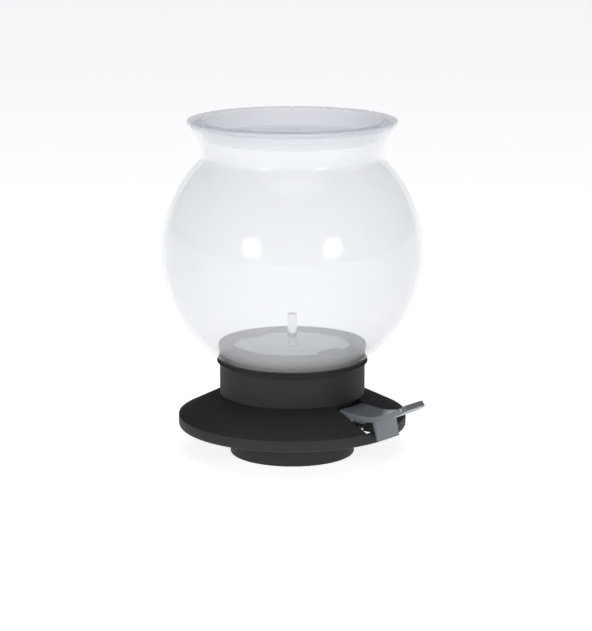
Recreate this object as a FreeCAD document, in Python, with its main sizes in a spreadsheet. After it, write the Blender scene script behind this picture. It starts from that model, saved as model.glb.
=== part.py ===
import FreeCAD, Part
import math
import os
import Sketcher

# A steep-and-release coffee dripper: a glass globe clamped to a black foot, with a drop-in lid,
# a mesh filter, and a weighted valve pin that a thumb lever lifts to let the coffee run out.
# +Z is up, +X is the lever's side, and the origin is the middle of the foot's lower edge.
# Sizes are in millimetres and degrees.

SIZES = [
    # alias, value, what it is
    ("globe_diameter", 130.0, "glass globe, widest, outside"),
    ("globe_offset", 1.45, "how far the centre of the globe's arc stands off the axis"),
    ("glass_wall", 2.4, "thickness of the blown glass"),
    ("mouth_round", 0.52, "round of the mouth's edge, in wall thicknesses"),
    ("port_round", 0.56, "round of the port's edge, in its own heights"),
    ("port_radius", 31.0, "hole in the bottom of the globe"),
    ("neck_radius", 44.64, "narrowest place under the mouth, outside"),
    ("neck_bend", 4.97, "small concave bend between globe and neck"),
    ("flare_bend", 19.43, "large concave bend of the mouth"),
    ("flare_rise", 13.05, "height of the mouth above the narrowest place"),
    ("lid_radius", 51.7, "brim of the lid"),
    ("lid_wall", 1.6, "thickness of the lid"),
    ("lid_gap", 0.25, "air between the lid's brim and the rim of the glass"),
    ("lid_recess", 44.3, "opening of the lid's recess at the brim"),
    ("lid_depth", 9.8, "height of the whole lid"),
    ("lid_taper", 3.7, "how much the recess narrows on its way down"),
    ("lid_round", 0.9, "outer round of the lid's floor, in wall thicknesses"),
    ("brim_round", 0.3, "rounds of the brim, in wall thicknesses"),
    ("lid_mark", 1.8, "width of the small mark across the brim"),
    ("lid_mark_depth", 0.32, "depth of that mark"),
    ("lid_mark_angle", 130.0, "where that mark stands, from +X"),
    ("foot_radius", 31.1, "spigot that drops into a server, outside"),
    ("foot_wall", 2.2, "wall of the spigot and thickness of its plate"),
    ("foot_height", 13.6, "height of the spigot"),
    ("foot_hole", 12.2, "hole in the plate around the nozzle"),
    ("foot_round", 0.7, "round of the spigot's inner lower edge"),
    ("rim_radius", 56.9, "widest place of the skirt"),
    ("rim_bottom", 14.4, "lower edge of the skirt's rim"),
    ("rim_height", 5.6, "height of the skirt's rim"),
    ("skirt_rise", 10.35, "height of the cone above the rim"),
    ("skirt_wall", 2.0, "thickness of the skirt"),
    ("cone_wall", 1.15, "the cone's wall measured upright, in wall thicknesses"),
    ("rim_round", 1.5, "round of the rim's lower edge"),
    ("sill", 5.2, "height of the rim that runs on under the lever"),
    ("rib_wall", 2.0, "rib each side of the lever's notch"),
    ("rib_bite", 0.75, "how deep the ribs start in the cone, in its upright wall"),
    ("mould_round", 0.4, "small round on moulded edges"),
    ("collar_out", 5.2, "collar above the skirt, outside the glass's port"),
    ("collar_height", 17.0, "height of the collar with its lip"),
    ("collar_gap", 0.1, "fine groove between skirt and collar"),
    ("lip_out", 1.4, "lip under the glass, outside the collar"),
    ("lip_rise", 2.9, "height of the flare up to the lip"),
    ("lip_land", 0.5, "flat land on top of the lip"),
    ("gasket", 1.5, "silicone between lip and glass"),
    ("skin", 0.05, "air between two seated faces"),
    ("body_in", 2.2, "wall of the base inside the skirt, from the collar inwards"),
    ("body_wall", 2.2, "thickness of that wall and of the funnel"),
    ("body_gap", 1.2, "lower end of that wall, above the foot's plate"),
    ("seat_rise", 5.75, "valve seat, above the collar's lower end"),
    ("ledge_rise", 2.8, "ledge under the clamp ring's neck, above the valve seat"),
    ("seat_radius", 10.5, "outer edge of the valve seat"),
    ("throat_radius", 6.0, "outlet through the valve seat"),
    ("tube_radius", 7.5, "inside of the outlet tube"),
    ("tube_wall", 2.0, "wall of the outlet tube"),
    ("tube_drop", 0.8, "lower end of the outlet tube, below the plate's top"),
    ("groove_height", 1.6, "O-ring groove in the tube"),
    ("groove_depth", 1.1, "depth of that groove"),
    ("groove_rise", 3.0, "height of that groove's middle, above the tube's lower end"),
    ("spout_radius", 4.0, "hole of the nozzle"),
    ("spout_wall", 1.6, "wall of the nozzle"),
    ("spout_bottom", 3.0, "lower end of the nozzle"),
    ("sleeve_rise", 3.0, "top of its sleeve, above the O-ring groove"),
    ("shoulder_in", 0.5, "step of its bore inside the tube"),
    ("ring_out", 5.75, "clamp ring inside the globe, outside the port"),
    ("ring_in", 1.5, "clamp ring's bore, inside the port"),
    ("ring_side", 4.05, "height of its side above the glass"),
    ("ring_round", 0.5, "rounds on its top"),
    ("ring_gasket", 1.3, "silicone between clamp ring and glass"),
    ("ring_float", 0.2, "air between that silicone and the glass"),
    ("neck_wall", 2.1, "wall of the clamp ring's neck"),
    ("shelf_depth", 2.6, "shelf for the filter, below the ring's top"),
    ("ledge_height", 1.6, "height of a bayonet ledge"),
    ("ledge_reach", 1.4, "how far a ledge stands into the bore"),
    ("ledge_span", 50.0, "angle that a ledge covers"),
    ("lug_span", 36.0, "angle that a lug covers"),
    ("lug_height", 1.95, "height of a lug"),
    ("play", 0.3, "air around moving parts"),
    ("neck_gasket", 0.45, "flat silicone under the clamp ring's neck"),
    ("mesh_depth", 1.5, "top of the mesh below the ring's top"),
    ("mesh_thickness", 0.4, "woven mesh"),
    ("frame_wall", 0.55, "upright wall of the filter frame"),
    ("frame_gap", 0.2, "air between filter frame and clamp ring"),
    ("tab_width", 12.6, "finger tab, along the ring"),
    ("tab_reach", 4.1, "finger tab, towards the middle"),
    ("tab_height", 1.8, "finger tab, height"),
    ("tab_rise", 0.4, "top of the tab above the clamp ring"),
    ("tab_angle", -7.0, "where the tabs stand, from +X"),
    ("pin_radius", 2.35, "steel valve pin"),
    ("pin_rise", 14.7, "top of the pin above the clamp ring"),
    ("pin_bevel", 0.4, "bevel on top of the pin"),
    ("eyelet_wall", 0.55, "wall of the eyelet around the pin"),
    ("eyelet_lip", 0.4, "flange of the eyelet"),
    ("pin_drop", 5.7, "lower end of the pin, below the valve seat"),
    ("seal_radius", 9.2, "silicone valve seal"),
    ("seal_height", 4.7, "height of the seal"),
    ("seal_shoulder", 1.0, "top of the seal, inside the weight's edge"),
    ("seal_gap", 0.2, "air between the seal and its seat"),
    ("weight_radius", 7.5, "steel weight on the seal"),
    ("weight_height", 7.0, "height of the weight"),
    ("weight_bevel", 0.6, "bevels on the weight"),
    ("washer_radius", 5.2, "washer below the seal"),
    ("washer_height", 1.5, "thickness of that washer"),
    ("clip_radius", 4.2, "clip below the washer"),
    ("clip_height", 0.6, "thickness of a clip"),
    ("clip_bite", 0.4, "depth of a clip's groove"),
    ("clip_mouth", 0.8, "half of a clip's mouth, in bore radii"),
    ("pivot_air", 0.47, "air between the pivot's clip and the wall of the base"),
    ("pivot_rise", 4.2, "lever pivot, above the plate"),
    ("pivot_radius", 1.5, "pivot pin"),
    ("pivot_head", 1.7, "head and clip of the pivot pin, in its radii"),
    ("pivot_end", 1.0, "thickness of that head, and the pin's end past its clip"),
    ("pivot_play", 0.08, "running clearance of the lever on the pin"),
    ("hub_radius", 3.4, "lever hub around the pin"),
    ("lever_width", 18.4, "lever"),
    ("lever_play", 0.8, "air each side of the lever in its notch"),
    ("hub_play", 0.4, "air each side of the hub between its brackets"),
    ("bracket_wall", 2.6, "bracket that holds the pivot pin"),
    ("bracket_width", 7.0, "bracket, along X"),
    ("pad_gap", 1.4, "air between collar and thumb pad"),
    ("pad_drop", 1.45, "top of the pad at its inner end, below the top of the skirt"),
    ("pad_bend_in", 12.9, "where the pad starts to curve, inside the rim"),
    ("pad_bend", 44.0, "radius of the pad's curve"),
    ("pad_low_in", 7.4, "lowest place of that curve, inside the rim"),
    ("pad_low_drop", 2.3, "that place, below the top of the skirt"),
    ("pad_out", 19.4, "outer end of the pad's top, outside the rim"),
    ("pad_thickness", 2.8, "thickness of the pad"),
    ("pad_corner", 4.0, "rounded corners of the tip, in plan"),
    ("leg_width", 16.0, "hanging leg"),
    ("leg_gap", 0.1, "inner face of the leg at its top, outside the rim"),
    ("leg_lean", 3.2, "how much further out that face is at its foot"),
    ("leg_rise", 2.4, "lower end of the leg, above the rim's lower edge"),
    ("leg_thick", 2.4, "leg at its top"),
    ("leg_thin", 1.4, "leg at its foot"),
    ("cheek_in", 10.4, "outer end of the arm's cheeks, inside the rim"),
    ("cheek_wall", 2.0, "thickness of a cheek"),
    ("cheek_run", 7.0, "how far the cheeks' slanted ends reach inwards"),
    ("cheek_rise", 4.4, "lower edge of the arm, above the rim's lower edge"),
    ("arm_web", 1.4, "web on top of the hollow arm"),
    ("finger_width", 6.0, "finger under the pin"),
    ("finger_drop", 2.8, "thickness of the finger"),
    ("finger_over", 3.2, "how far the finger reaches past the axis"),
    ("window_play", 0.9, "air each side of the finger in the tube"),
    ("window_drop", 1.6, "air below it"),
    ("root_low", 0.3, "root of the finger below the pivot, in hub radii"),
    ("root_high", 0.8, "root of the finger beside and above the pivot, in hub radii"),
    ("screw_in", 3.7, "screws that hold the foot, inside the spigot's inner wall"),
    ("screw_angle", 60.0, "first screw, from +X"),
    ("screw_radius", 1.25, "screw shank"),
    ("screw_length", 9.0, "screw shank, length"),
    ("head_radius", 2.8, "screw head"),
    ("head_height", 2.0, "screw head, height"),
    ("drive_radius", 1.26, "recess in the head"),
    ("drive_depth", 1.2, "depth of that recess"),
    ("boss_radius", 3.4, "screw boss"),
    ("margin", 1.0, "how far a cut starts outside what it cuts"),
]
SCREWS = 3
LUGS = 3
TABS = 2

doc = FreeCAD.newDocument("dripper")
sheet = doc.addObject("Spreadsheet::Sheet", "Sizes")
for row, (alias, value, meaning) in enumerate(SIZES, start=1):
    sheet.set("A%d" % row, meaning)
    sheet.set("B%d" % row, str(value))
    sheet.setAlias("B%d" % row, alias)
doc.recompute()


class Size:
    """A length or angle: its value now, and the expression that ties it to the sheet."""

    def __init__(self, value, text):
        self.value = float(value)
        self.text = text

    def joined(self, other, sign, value):
        return Size(value, "(%s %s %s)" % (self.text, sign, other.text))

    def __add__(self, other):
        other = sized(other)
        return self.joined(other, "+", self.value + other.value)

    def __sub__(self, other):
        other = sized(other)
        return self.joined(other, "-", self.value - other.value)

    def __mul__(self, other):
        other = sized(other)
        return self.joined(other, "*", self.value * other.value)

    def __truediv__(self, other):
        other = sized(other)
        return self.joined(other, "/", self.value / other.value)

    def __radd__(self, other):
        return sized(other) + self

    def __rsub__(self, other):
        return sized(other) - self

    def __rmul__(self, other):
        return sized(other) * self

    def __neg__(self):
        return sized(0) - self

    def root(self):
        return Size(math.sqrt(self.value), "sqrt(%s)" % self.text)

    def cos(self):
        return Size(math.cos(math.radians(self.value)), "cos(%s * 1 deg)" % self.text)

    def sin(self):
        return Size(math.sin(math.radians(self.value)), "sin(%s * 1 deg)" % self.text)


class Named:
    """Gives each of the sheet's values by its alias."""

    def __getattr__(self, alias):
        return Size(getattr(sheet, alias), "Sizes.%s" % alias)


def sized(number):
    return number if isinstance(number, Size) else Size(number, repr(float(number)))


def other_side(long_side, short_side):
    """The other short side of a right-angled triangle."""
    return (long_side * long_side - short_side * short_side).root()


class Bend:
    """An arc to the next corner, with its centre left or right of the way there."""

    def __init__(self, side, radius):
        self.side = side
        self.radius = sized(radius)


size = Named()


# ---------------------------------------------------------------- sketches and features

def new_body(label):
    body = doc.addObject("PartDesign::Body", label)
    body.Label = label
    return body


def origin(body, role):
    return [feature for feature in body.Origin.OriginFeatures if feature.Role == role][0]


def new_sketch(body, name, role="XZ_Plane", level=0):
    """A sketch on one of the body's own planes, moved along the plane's normal by level."""
    sketch = body.newObject("Sketcher::SketchObject", name)
    sketch.AttachmentSupport = [(origin(body, role), "")]
    sketch.MapMode = "FlatFace"
    level = sized(level)
    sketch.AttachmentOffset = FreeCAD.Placement(
        FreeCAD.Vector(0, 0, level.value), FreeCAD.Rotation())
    sketch.setExpression("AttachmentOffset.Base.z", level.text)
    return sketch


def tie(sketch, kind, expression, *where):
    """Adds a constraint and binds its value to the sheet."""
    index = sketch.addConstraint(Sketcher.Constraint(kind, *where, expression.value))
    sketch.setExpression("Constraints[%d]" % index, expression.text)


def arc_through(start, end, bend):
    """The short arc between two points, and whether it runs from start to end."""
    chord = end - start
    middle = (start + end) * 0.5
    height = math.sqrt(max(bend.radius.value ** 2 - (chord.Length / 2) ** 2, 0.0))
    left = FreeCAD.Vector(-chord.y, chord.x, 0).normalize()
    forwards = bend.side == "left"
    centre = middle + left * (height if forwards else -height)
    first, last = (start, end) if forwards else (end, start)
    angles = [math.atan2(point.y - centre.y, point.x - centre.x) for point in (first, last)]
    circle = Part.Circle(centre, FreeCAD.Vector(0, 0, 1), bend.radius.value)
    return Part.ArcOfCircle(circle, angles[0], angles[1]), forwards


def outline(sketch, corners):
    """A closed loop through corners (across, up) or (across, up, bend)."""
    places = [(sized(corner[0]), sized(corner[1])) for corner in corners]
    points = [FreeCAD.Vector(across.value, up.value, 0) for across, up in places]
    ends = []
    for index, corner in enumerate(corners):
        start, end = points[index], points[(index + 1) % len(points)]
        if len(corner) == 3:
            curve, forwards = arc_through(start, end, corner[2])
        else:
            curve, forwards = Part.LineSegment(start, end), True
        edge = sketch.addGeometry(curve)
        ends.append((edge, 1, 2) if forwards else (edge, 2, 1))
        if len(corner) == 3:
            tie(sketch, "Radius", corner[2].radius, edge)
    for index, (edge, start, end) in enumerate(ends):
        following = ends[(index + 1) % len(ends)]
        sketch.addConstraint(Sketcher.Constraint("Coincident", edge, end, following[0], following[1]))
        tie(sketch, "DistanceX", places[index][0], -1, 1, edge, start)
        tie(sketch, "DistanceY", places[index][1], -1, 1, edge, start)


def circles(sketch, centres, radius):
    """Equal circles at the given centres."""
    for across, up in centres:
        across, up = sized(across), sized(up)
        circle = Part.Circle(FreeCAD.Vector(across.value, up.value, 0), FreeCAD.Vector(0, 0, 1), radius.value)
        edge = sketch.addGeometry(circle)
        tie(sketch, "Radius", radius, edge)
        tie(sketch, "DistanceX", across, -1, 1, edge, 3)
        tie(sketch, "DistanceY", up, -1, 1, edge, 3)


def revolve(body, name, corners):
    """Turns an outline of (radius, height) corners about the body's Z axis."""
    sketch = new_sketch(body, name + "_profile")
    outline(sketch, corners)
    turned = body.newObject("PartDesign::Revolution", name)
    turned.Profile = sketch
    turned.ReferenceAxis = (sketch, ["V_Axis"])
    turned.Angle = 360
    return turned


def pad(body, name, sketch, length, symmetric=False):
    feature = body.newObject("PartDesign::Pad", name)
    feature.Profile = sketch
    feature.SideType = "Symmetric" if symmetric else "One side"
    feature.setExpression("Length", sized(length).text)
    return feature


def cut(body, name, sketch, length, symmetric=False, turned=False):
    """A pocket, which has to take something away."""
    doc.recompute()
    before = body.Shape.Volume
    feature = body.newObject("PartDesign::Pocket", name)
    feature.Profile = sketch
    feature.SideType = "Symmetric" if symmetric else "One side"
    feature.Reversed = turned
    feature.setExpression("Length", sized(length).text)
    doc.recompute()
    if not body.Shape.Volume < before:
        raise RuntimeError("%s cuts nothing from %s" % (name, body.Label))
    return feature


def repeat(body, name, feature, count):
    """The feature again, evenly around the Z axis."""
    pattern = body.newObject("PartDesign::PolarPattern", name)
    pattern.Originals = [feature]
    pattern.Axis = (origin(body, "Z_Axis"), [""])
    pattern.Angle = 360
    pattern.Occurrences = count
    body.Tip = pattern
    return pattern


def soften(body, name, places, radius, kind="Fillet"):
    """Rounds or bevels the turned edges that pass through the places (radius, height)."""
    doc.recompute()
    feature = body.Tip
    names = []
    for reach, height in places:
        spot = FreeCAD.Vector(sized(reach).value, 0, sized(height).value)
        for index, edge in enumerate(feature.Shape.Edges, start=1):
            turned = isinstance(edge.Curve, Part.Circle) and abs(edge.Curve.Axis.z) > 0.99
            on_spot = turned and abs(edge.Curve.Radius - spot.x) < 0.01
            if on_spot and abs(edge.Curve.Center.z - spot.z) < 0.01:
                names.append("Edge%d" % index)
    if len(names) < len(places):
        raise RuntimeError("%s finds too few edges on %s" % (name, body.Label))
    rounded = body.newObject("PartDesign::" + kind, name)
    rounded.Base = (feature, names)
    rounded.setExpression("Radius" if kind == "Fillet" else "Size", sized(radius).text)
    return rounded


def turn(body, angle):
    """Turns a whole body about the Z axis."""
    body.Placement = FreeCAD.Placement(
        FreeCAD.Vector(), FreeCAD.Rotation(FreeCAD.Vector(0, 0, 1), angle.value))
    body.setExpression("Placement.Rotation.Angle", "%s * 1 deg" % angle.text)


def around(count, reach, first=0):
    """Centres spread evenly on a circle."""
    turns = [first + 360.0 * index / count for index in range(count)]
    return [(reach * sized(turn).cos(), reach * sized(turn).sin()) for turn in turns]


def sector(sketch, inner, outer, span):
    """A piece of a ring, centred on +X."""
    half = span / 2
    outline(sketch, [
        (inner * half.cos(), -inner * half.sin()),
        (outer * half.cos(), -outer * half.sin(), Bend("left", outer)),
        (outer * half.cos(), outer * half.sin()),
        (inner * half.cos(), inner * half.sin(), Bend("right", inner)),
    ])


# ---------------------------------------------------------------- shared places

collar_radius = size.port_radius + size.collar_out
lip_radius = collar_radius + size.lip_out
bore_radius = size.port_radius + size.play
body_radius = collar_radius - size.body_in
ring_bore = size.port_radius - size.ring_in
ring_radius = size.port_radius + size.ring_out
skirt_top = size.rim_bottom + size.rim_height + size.skirt_rise
collar_bottom = skirt_top + size.collar_gap
lip_top = collar_bottom + size.collar_height
seat_height = collar_bottom + size.seat_rise
ledge_depth = seat_height + size.ledge_rise
lip_inner = lip_radius - size.lip_land
globe_arc = size.globe_diameter / 2 - size.globe_offset
globe_height = lip_top + other_side(globe_arc + size.gasket, lip_inner - size.globe_offset)
globe_inner = globe_arc - size.glass_wall


def below_globe(arc, reach):
    """Height of the lower half of an arc about the globe's centre, at a distance from the axis."""
    return globe_height - other_side(arc, reach - size.globe_offset)


neck_centre = size.neck_radius + size.neck_bend
neck_height = globe_height + other_side(globe_arc + size.neck_bend, neck_centre - size.globe_offset)
flare_centre = size.neck_radius + size.flare_bend
flare_run = other_side(size.flare_bend, size.flare_rise)
flare_scale = (size.flare_bend + size.glass_wall) / size.flare_bend
rim_top = neck_height + size.flare_rise * (1 + flare_scale) / 2 + size.glass_wall / 2

ring_top = below_globe(globe_inner, ring_radius) + size.ring_side
ring_seat = globe_inner - size.ring_float - size.ring_gasket
neck_bottom = ledge_depth + size.neck_gasket + size.play
lug_top = neck_bottom + size.lug_height
ledge_bottom = lug_top + size.play
neck_inner = ring_bore - size.neck_wall
shelf = ring_top - size.shelf_depth
mesh_top = ring_top - size.mesh_depth
mesh_bottom = mesh_top - size.mesh_thickness
frame_outer = ring_bore - size.frame_gap
frame_inner = frame_outer - size.frame_wall

plate_top = size.foot_height + size.foot_wall
body_bottom = plate_top + size.body_gap
screw_circle = size.foot_radius - size.foot_wall - size.screw_in
tube_bottom = plate_top - size.tube_drop
groove_level = tube_bottom + size.groove_rise
tube_outer = size.tube_radius + size.tube_wall
socket_radius = tube_outer + size.frame_gap
throat_bottom = seat_height - size.body_wall + size.frame_gap * 2
funnel_under = ledge_depth - size.body_wall
half_lever = size.lever_width / 2
half_notch = half_lever + size.lever_play
half_brackets = half_lever + size.hub_play
bracket_outer = half_brackets + size.bracket_wall
pin_bottom = seat_height - size.pin_drop
finger_top = pin_bottom - size.play
finger_bottom = finger_top - size.finger_drop
seal_bottom = seat_height + size.seal_gap
seal_top = seal_bottom + size.seal_height
washer_bottom = seal_bottom - size.washer_height
pin_fit = size.pin_radius + size.skin
pivot_groove = bracket_outer + size.play / 2
pivot_clip_end = pivot_groove + size.clip_height + size.skin
pivot_head = size.pivot_radius * size.pivot_head
pivot_room = other_side(body_radius - size.body_wall, pivot_clip_end)
pivot_reach = pivot_room - pivot_head - size.pivot_air
pivot_height = plate_top + size.pivot_rise

pad_start = collar_radius + size.pad_gap
pad_height = skirt_top - size.pad_drop
pad_bend_start = size.rim_radius - size.pad_bend_in
pad_low_reach = size.rim_radius - size.pad_low_in
pad_low_height = skirt_top - size.pad_low_drop
pad_tip = size.rim_radius + size.pad_out
leg_top = size.rim_radius + size.leg_gap
leg_bottom = leg_top + size.leg_lean
leg_end = size.rim_bottom + size.leg_rise
cheek_reach = size.rim_radius - size.cheek_in
cheek_bottom = size.rim_bottom + size.cheek_rise


# ---------------------------------------------------------------- glass, lid and seals

def make_glass_globe():
    body = new_body("glass_globe")
    blend = globe_arc / (globe_arc + size.neck_bend)
    blend_inner = globe_inner / (globe_arc + size.neck_bend)
    side = neck_centre - size.globe_offset
    rise = neck_height - globe_height
    port_outer = below_globe(globe_arc, size.port_radius)
    port_inner = below_globe(globe_inner, size.port_radius)
    revolve(body, "blown_glass", [
        (size.port_radius, port_outer, Bend("left", globe_arc)),
        (size.globe_offset + side * blend, globe_height + rise * blend, Bend("right", size.neck_bend)),
        (size.neck_radius, neck_height, Bend("right", size.flare_bend)),
        (flare_centre - flare_run, neck_height + size.flare_rise,
         Bend("left", size.glass_wall * size.mouth_round)),
        (flare_centre - flare_run * flare_scale, neck_height + size.flare_rise * flare_scale,
         Bend("left", size.flare_bend + size.glass_wall)),
        (size.neck_radius - size.glass_wall, neck_height, Bend("left", size.neck_bend + size.glass_wall)),
        (size.globe_offset + side * blend_inner, globe_height + rise * blend_inner,
         Bend("right", globe_inner)),
        (size.port_radius, port_inner, Bend("left", (port_inner - port_outer) * size.port_round)),
    ])


def make_glass_seat_gasket():
    body = new_body("glass_seat_gasket")
    upper = globe_arc + size.skin
    lower = globe_arc + size.gasket - size.skin
    inside = bore_radius + size.play
    outside = lip_inner - size.play
    revolve(body, "silicone", [
        (inside, below_globe(lower, inside), Bend("left", lower)),
        (outside, below_globe(lower, outside)),
        (outside, below_globe(upper, outside), Bend("right", upper)),
        (inside, below_globe(upper, inside)),
    ])


def make_lid():
    body = new_body("lid")
    brim_bottom = rim_top + size.lid_gap
    brim_top = brim_bottom + size.lid_wall
    bottom = brim_top - size.lid_depth
    outer_recess = size.lid_recess + size.lid_wall
    floor = bottom + size.lid_wall
    revolve(body, "shell", [
        (0, bottom),
        (outer_recess - size.lid_taper, bottom),
        (outer_recess, brim_bottom),
        (size.lid_radius, brim_bottom),
        (size.lid_radius, brim_top),
        (size.lid_recess, brim_top),
        (size.lid_recess - size.lid_taper, floor),
        (0, floor),
    ])
    soften(body, "outer_rounds", [(outer_recess - size.lid_taper, bottom)], size.lid_wall * size.lid_round)
    soften(body, "brim_rounds", [(size.lid_radius, brim_top), (size.lid_radius, brim_bottom),
                                 (size.lid_recess, brim_top)],
           size.lid_wall * size.brim_round)
    mark = new_sketch(body, "mark_outline", "XY_Plane", brim_top)
    outline(mark, [
        (size.lid_recess + size.margin, -size.lid_mark / 2),
        (size.lid_radius + size.margin, -size.lid_mark / 2),
        (size.lid_radius + size.margin, size.lid_mark / 2),
        (size.lid_recess + size.margin, size.lid_mark / 2),
    ])
    cut(body, "mark", mark, size.lid_mark_depth)
    turn(body, size.lid_mark_angle)


# ---------------------------------------------------------------- clamp ring and filter

def make_clamp_ring():
    body = new_body("clamp_ring")
    revolve(body, "ring", [
        (ring_bore, ring_top),
        (ring_bore, shelf),
        (neck_inner, shelf),
        (neck_inner, neck_bottom),
        (ring_bore, neck_bottom),
        (ring_bore, below_globe(ring_seat, ring_bore), Bend("left", ring_seat)),
        (ring_radius, below_globe(ring_seat, ring_radius)),
        (ring_radius, ring_top),
    ])
    soften(body, "top_rounds", [(ring_radius, ring_top), (ring_bore, ring_top)], size.ring_round)
    lug = new_sketch(body, "lug_outline", "XY_Plane", neck_bottom)
    sector(lug, ring_bore - size.neck_wall / 2, size.port_radius - size.play, size.lug_span)
    first = pad(body, "lug", lug, size.lug_height)
    repeat(body, "lugs", first, LUGS)


def make_clamp_ring_gasket():
    body = new_body("clamp_ring_gasket")
    upper = ring_seat + size.skin
    lower = ring_seat + size.ring_gasket
    inside = size.port_radius + size.play
    outside = ring_radius - size.play
    revolve(body, "silicone", [
        (inside, below_globe(lower, inside), Bend("left", lower)),
        (outside, below_globe(lower, outside)),
        (outside, below_globe(upper, outside), Bend("right", upper)),
        (inside, below_globe(upper, inside)),
    ])


def make_neck_gasket():
    body = new_body("neck_gasket")
    revolve(body, "silicone", [
        (neck_inner + size.frame_gap, ledge_depth),
        (ring_bore, ledge_depth),
        (ring_bore, ledge_depth + size.neck_gasket),
        (neck_inner + size.frame_gap, ledge_depth + size.neck_gasket),
    ])


def make_filter_frame():
    body = new_body("filter_frame")
    foot = neck_inner + size.frame_gap
    bottom = shelf + size.skin
    top = ring_top - size.frame_wall
    revolve(body, "hoop", [
        (foot, bottom),
        (frame_outer, bottom),
        (frame_outer, top),
        (frame_inner, top),
        (frame_inner, mesh_bottom - size.skin),
        (foot, mesh_bottom - size.skin),
    ])
    tab_top = ring_top + size.tab_rise
    outer = frame_outer - size.skin
    half = size.tab_width / 2
    tab = new_sketch(body, "tab_outline", "XY_Plane", tab_top - size.tab_height)
    outline(tab, [
        (outer - size.tab_reach, -half),
        (other_side(outer, half), -half, Bend("left", outer)),
        (other_side(outer, half), half),
        (outer - size.tab_reach, half),
    ])
    first = pad(body, "tab", tab, size.tab_height)
    repeat(body, "tabs", first, TABS)
    turn(body, size.tab_angle)


eyelet_bore = size.pin_radius + size.play
eyelet_waist = eyelet_bore + size.eyelet_wall
eyelet_rim = eyelet_waist + size.eyelet_lip


def make_filter_mesh():
    body = new_body("filter_mesh")
    inside = eyelet_waist + size.skin
    outside = frame_inner - size.skin
    revolve(body, "mesh", [
        (inside, mesh_bottom),
        (outside, mesh_bottom),
        (outside, mesh_top),
        (inside, mesh_top),
    ])


def make_filter_eyelet():
    body = new_body("filter_eyelet")
    low = mesh_bottom - size.skin
    high = mesh_top + size.skin
    revolve(body, "spool", [
        (eyelet_bore, low - size.eyelet_lip),
        (eyelet_rim, low - size.eyelet_lip),
        (eyelet_rim, low),
        (eyelet_waist, low),
        (eyelet_waist, high),
        (eyelet_rim, high),
        (eyelet_rim, high + size.eyelet_lip),
        (eyelet_bore, high + size.eyelet_lip),
    ])


# ---------------------------------------------------------------- valve

def make_valve_pin():
    body = new_body("valve_pin")
    top = ring_top + size.pin_rise
    groove_top = washer_bottom - size.skin
    groove_bottom = groove_top - size.clip_height - size.skin
    revolve(body, "rod", [
        (0, pin_bottom, Bend("left", size.pin_radius)),
        (size.pin_radius, pin_bottom + size.pin_radius),
        (size.pin_radius, groove_bottom),
        (size.pin_radius - size.clip_bite, groove_bottom),
        (size.pin_radius - size.clip_bite, groove_top),
        (size.pin_radius, groove_top),
        (size.pin_radius, top - size.pin_bevel),
        (size.pin_radius - size.pin_bevel, top),
        (0, top),
    ])


def make_valve_seal():
    body = new_body("valve_seal")
    revolve(body, "silicone", [
        (pin_fit, seal_bottom),
        (size.seal_radius, seal_bottom),
        (size.seal_radius, seal_bottom + size.seal_height / 4),
        (size.weight_radius - size.seal_shoulder, seal_top),
        (pin_fit, seal_top),
    ])


def make_valve_weight():
    body = new_body("valve_weight")
    bottom = seal_top + size.skin
    revolve(body, "slug", [
        (pin_fit, bottom),
        (size.weight_radius, bottom),
        (size.weight_radius, bottom + size.weight_height),
        (pin_fit, bottom + size.weight_height),
    ])
    soften(body, "bevels", [(size.weight_radius, bottom), (size.weight_radius, bottom + size.weight_height)],
           size.weight_bevel, "Chamfer")


def make_valve_washer():
    body = new_body("valve_washer")
    revolve(body, "disc", [
        (pin_fit, washer_bottom),
        (size.washer_radius, washer_bottom),
        (size.washer_radius, seal_bottom - size.skin),
        (pin_fit, seal_bottom - size.skin),
    ])


def clip(label, bore, outer):
    """A thin spring clip lying on the XY plane, open towards -X."""
    body = new_body(label)
    revolve(body, "ring", [
        (bore, 0),
        (outer, 0),
        (outer, size.clip_height),
        (bore, size.clip_height),
    ])
    mouth = new_sketch(body, "mouth_outline", "XY_Plane")
    outline(mouth, [
        (-outer - size.margin, -bore * size.clip_mouth),
        (0, -bore * size.clip_mouth),
        (0, bore * size.clip_mouth),
        (-outer - size.margin, bore * size.clip_mouth),
    ])
    cut(body, "mouth", mouth, size.clip_height, turned=True)
    return body


def make_valve_clip():
    body = clip("valve_clip", size.pin_radius - size.clip_bite + size.skin, size.clip_radius)
    bottom = washer_bottom - size.skin * 1.5 - size.clip_height
    body.Placement = FreeCAD.Placement(FreeCAD.Vector(0, 0, bottom.value), FreeCAD.Rotation())
    body.setExpression("Placement.Base.z", bottom.text)


# ---------------------------------------------------------------- foot

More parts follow.
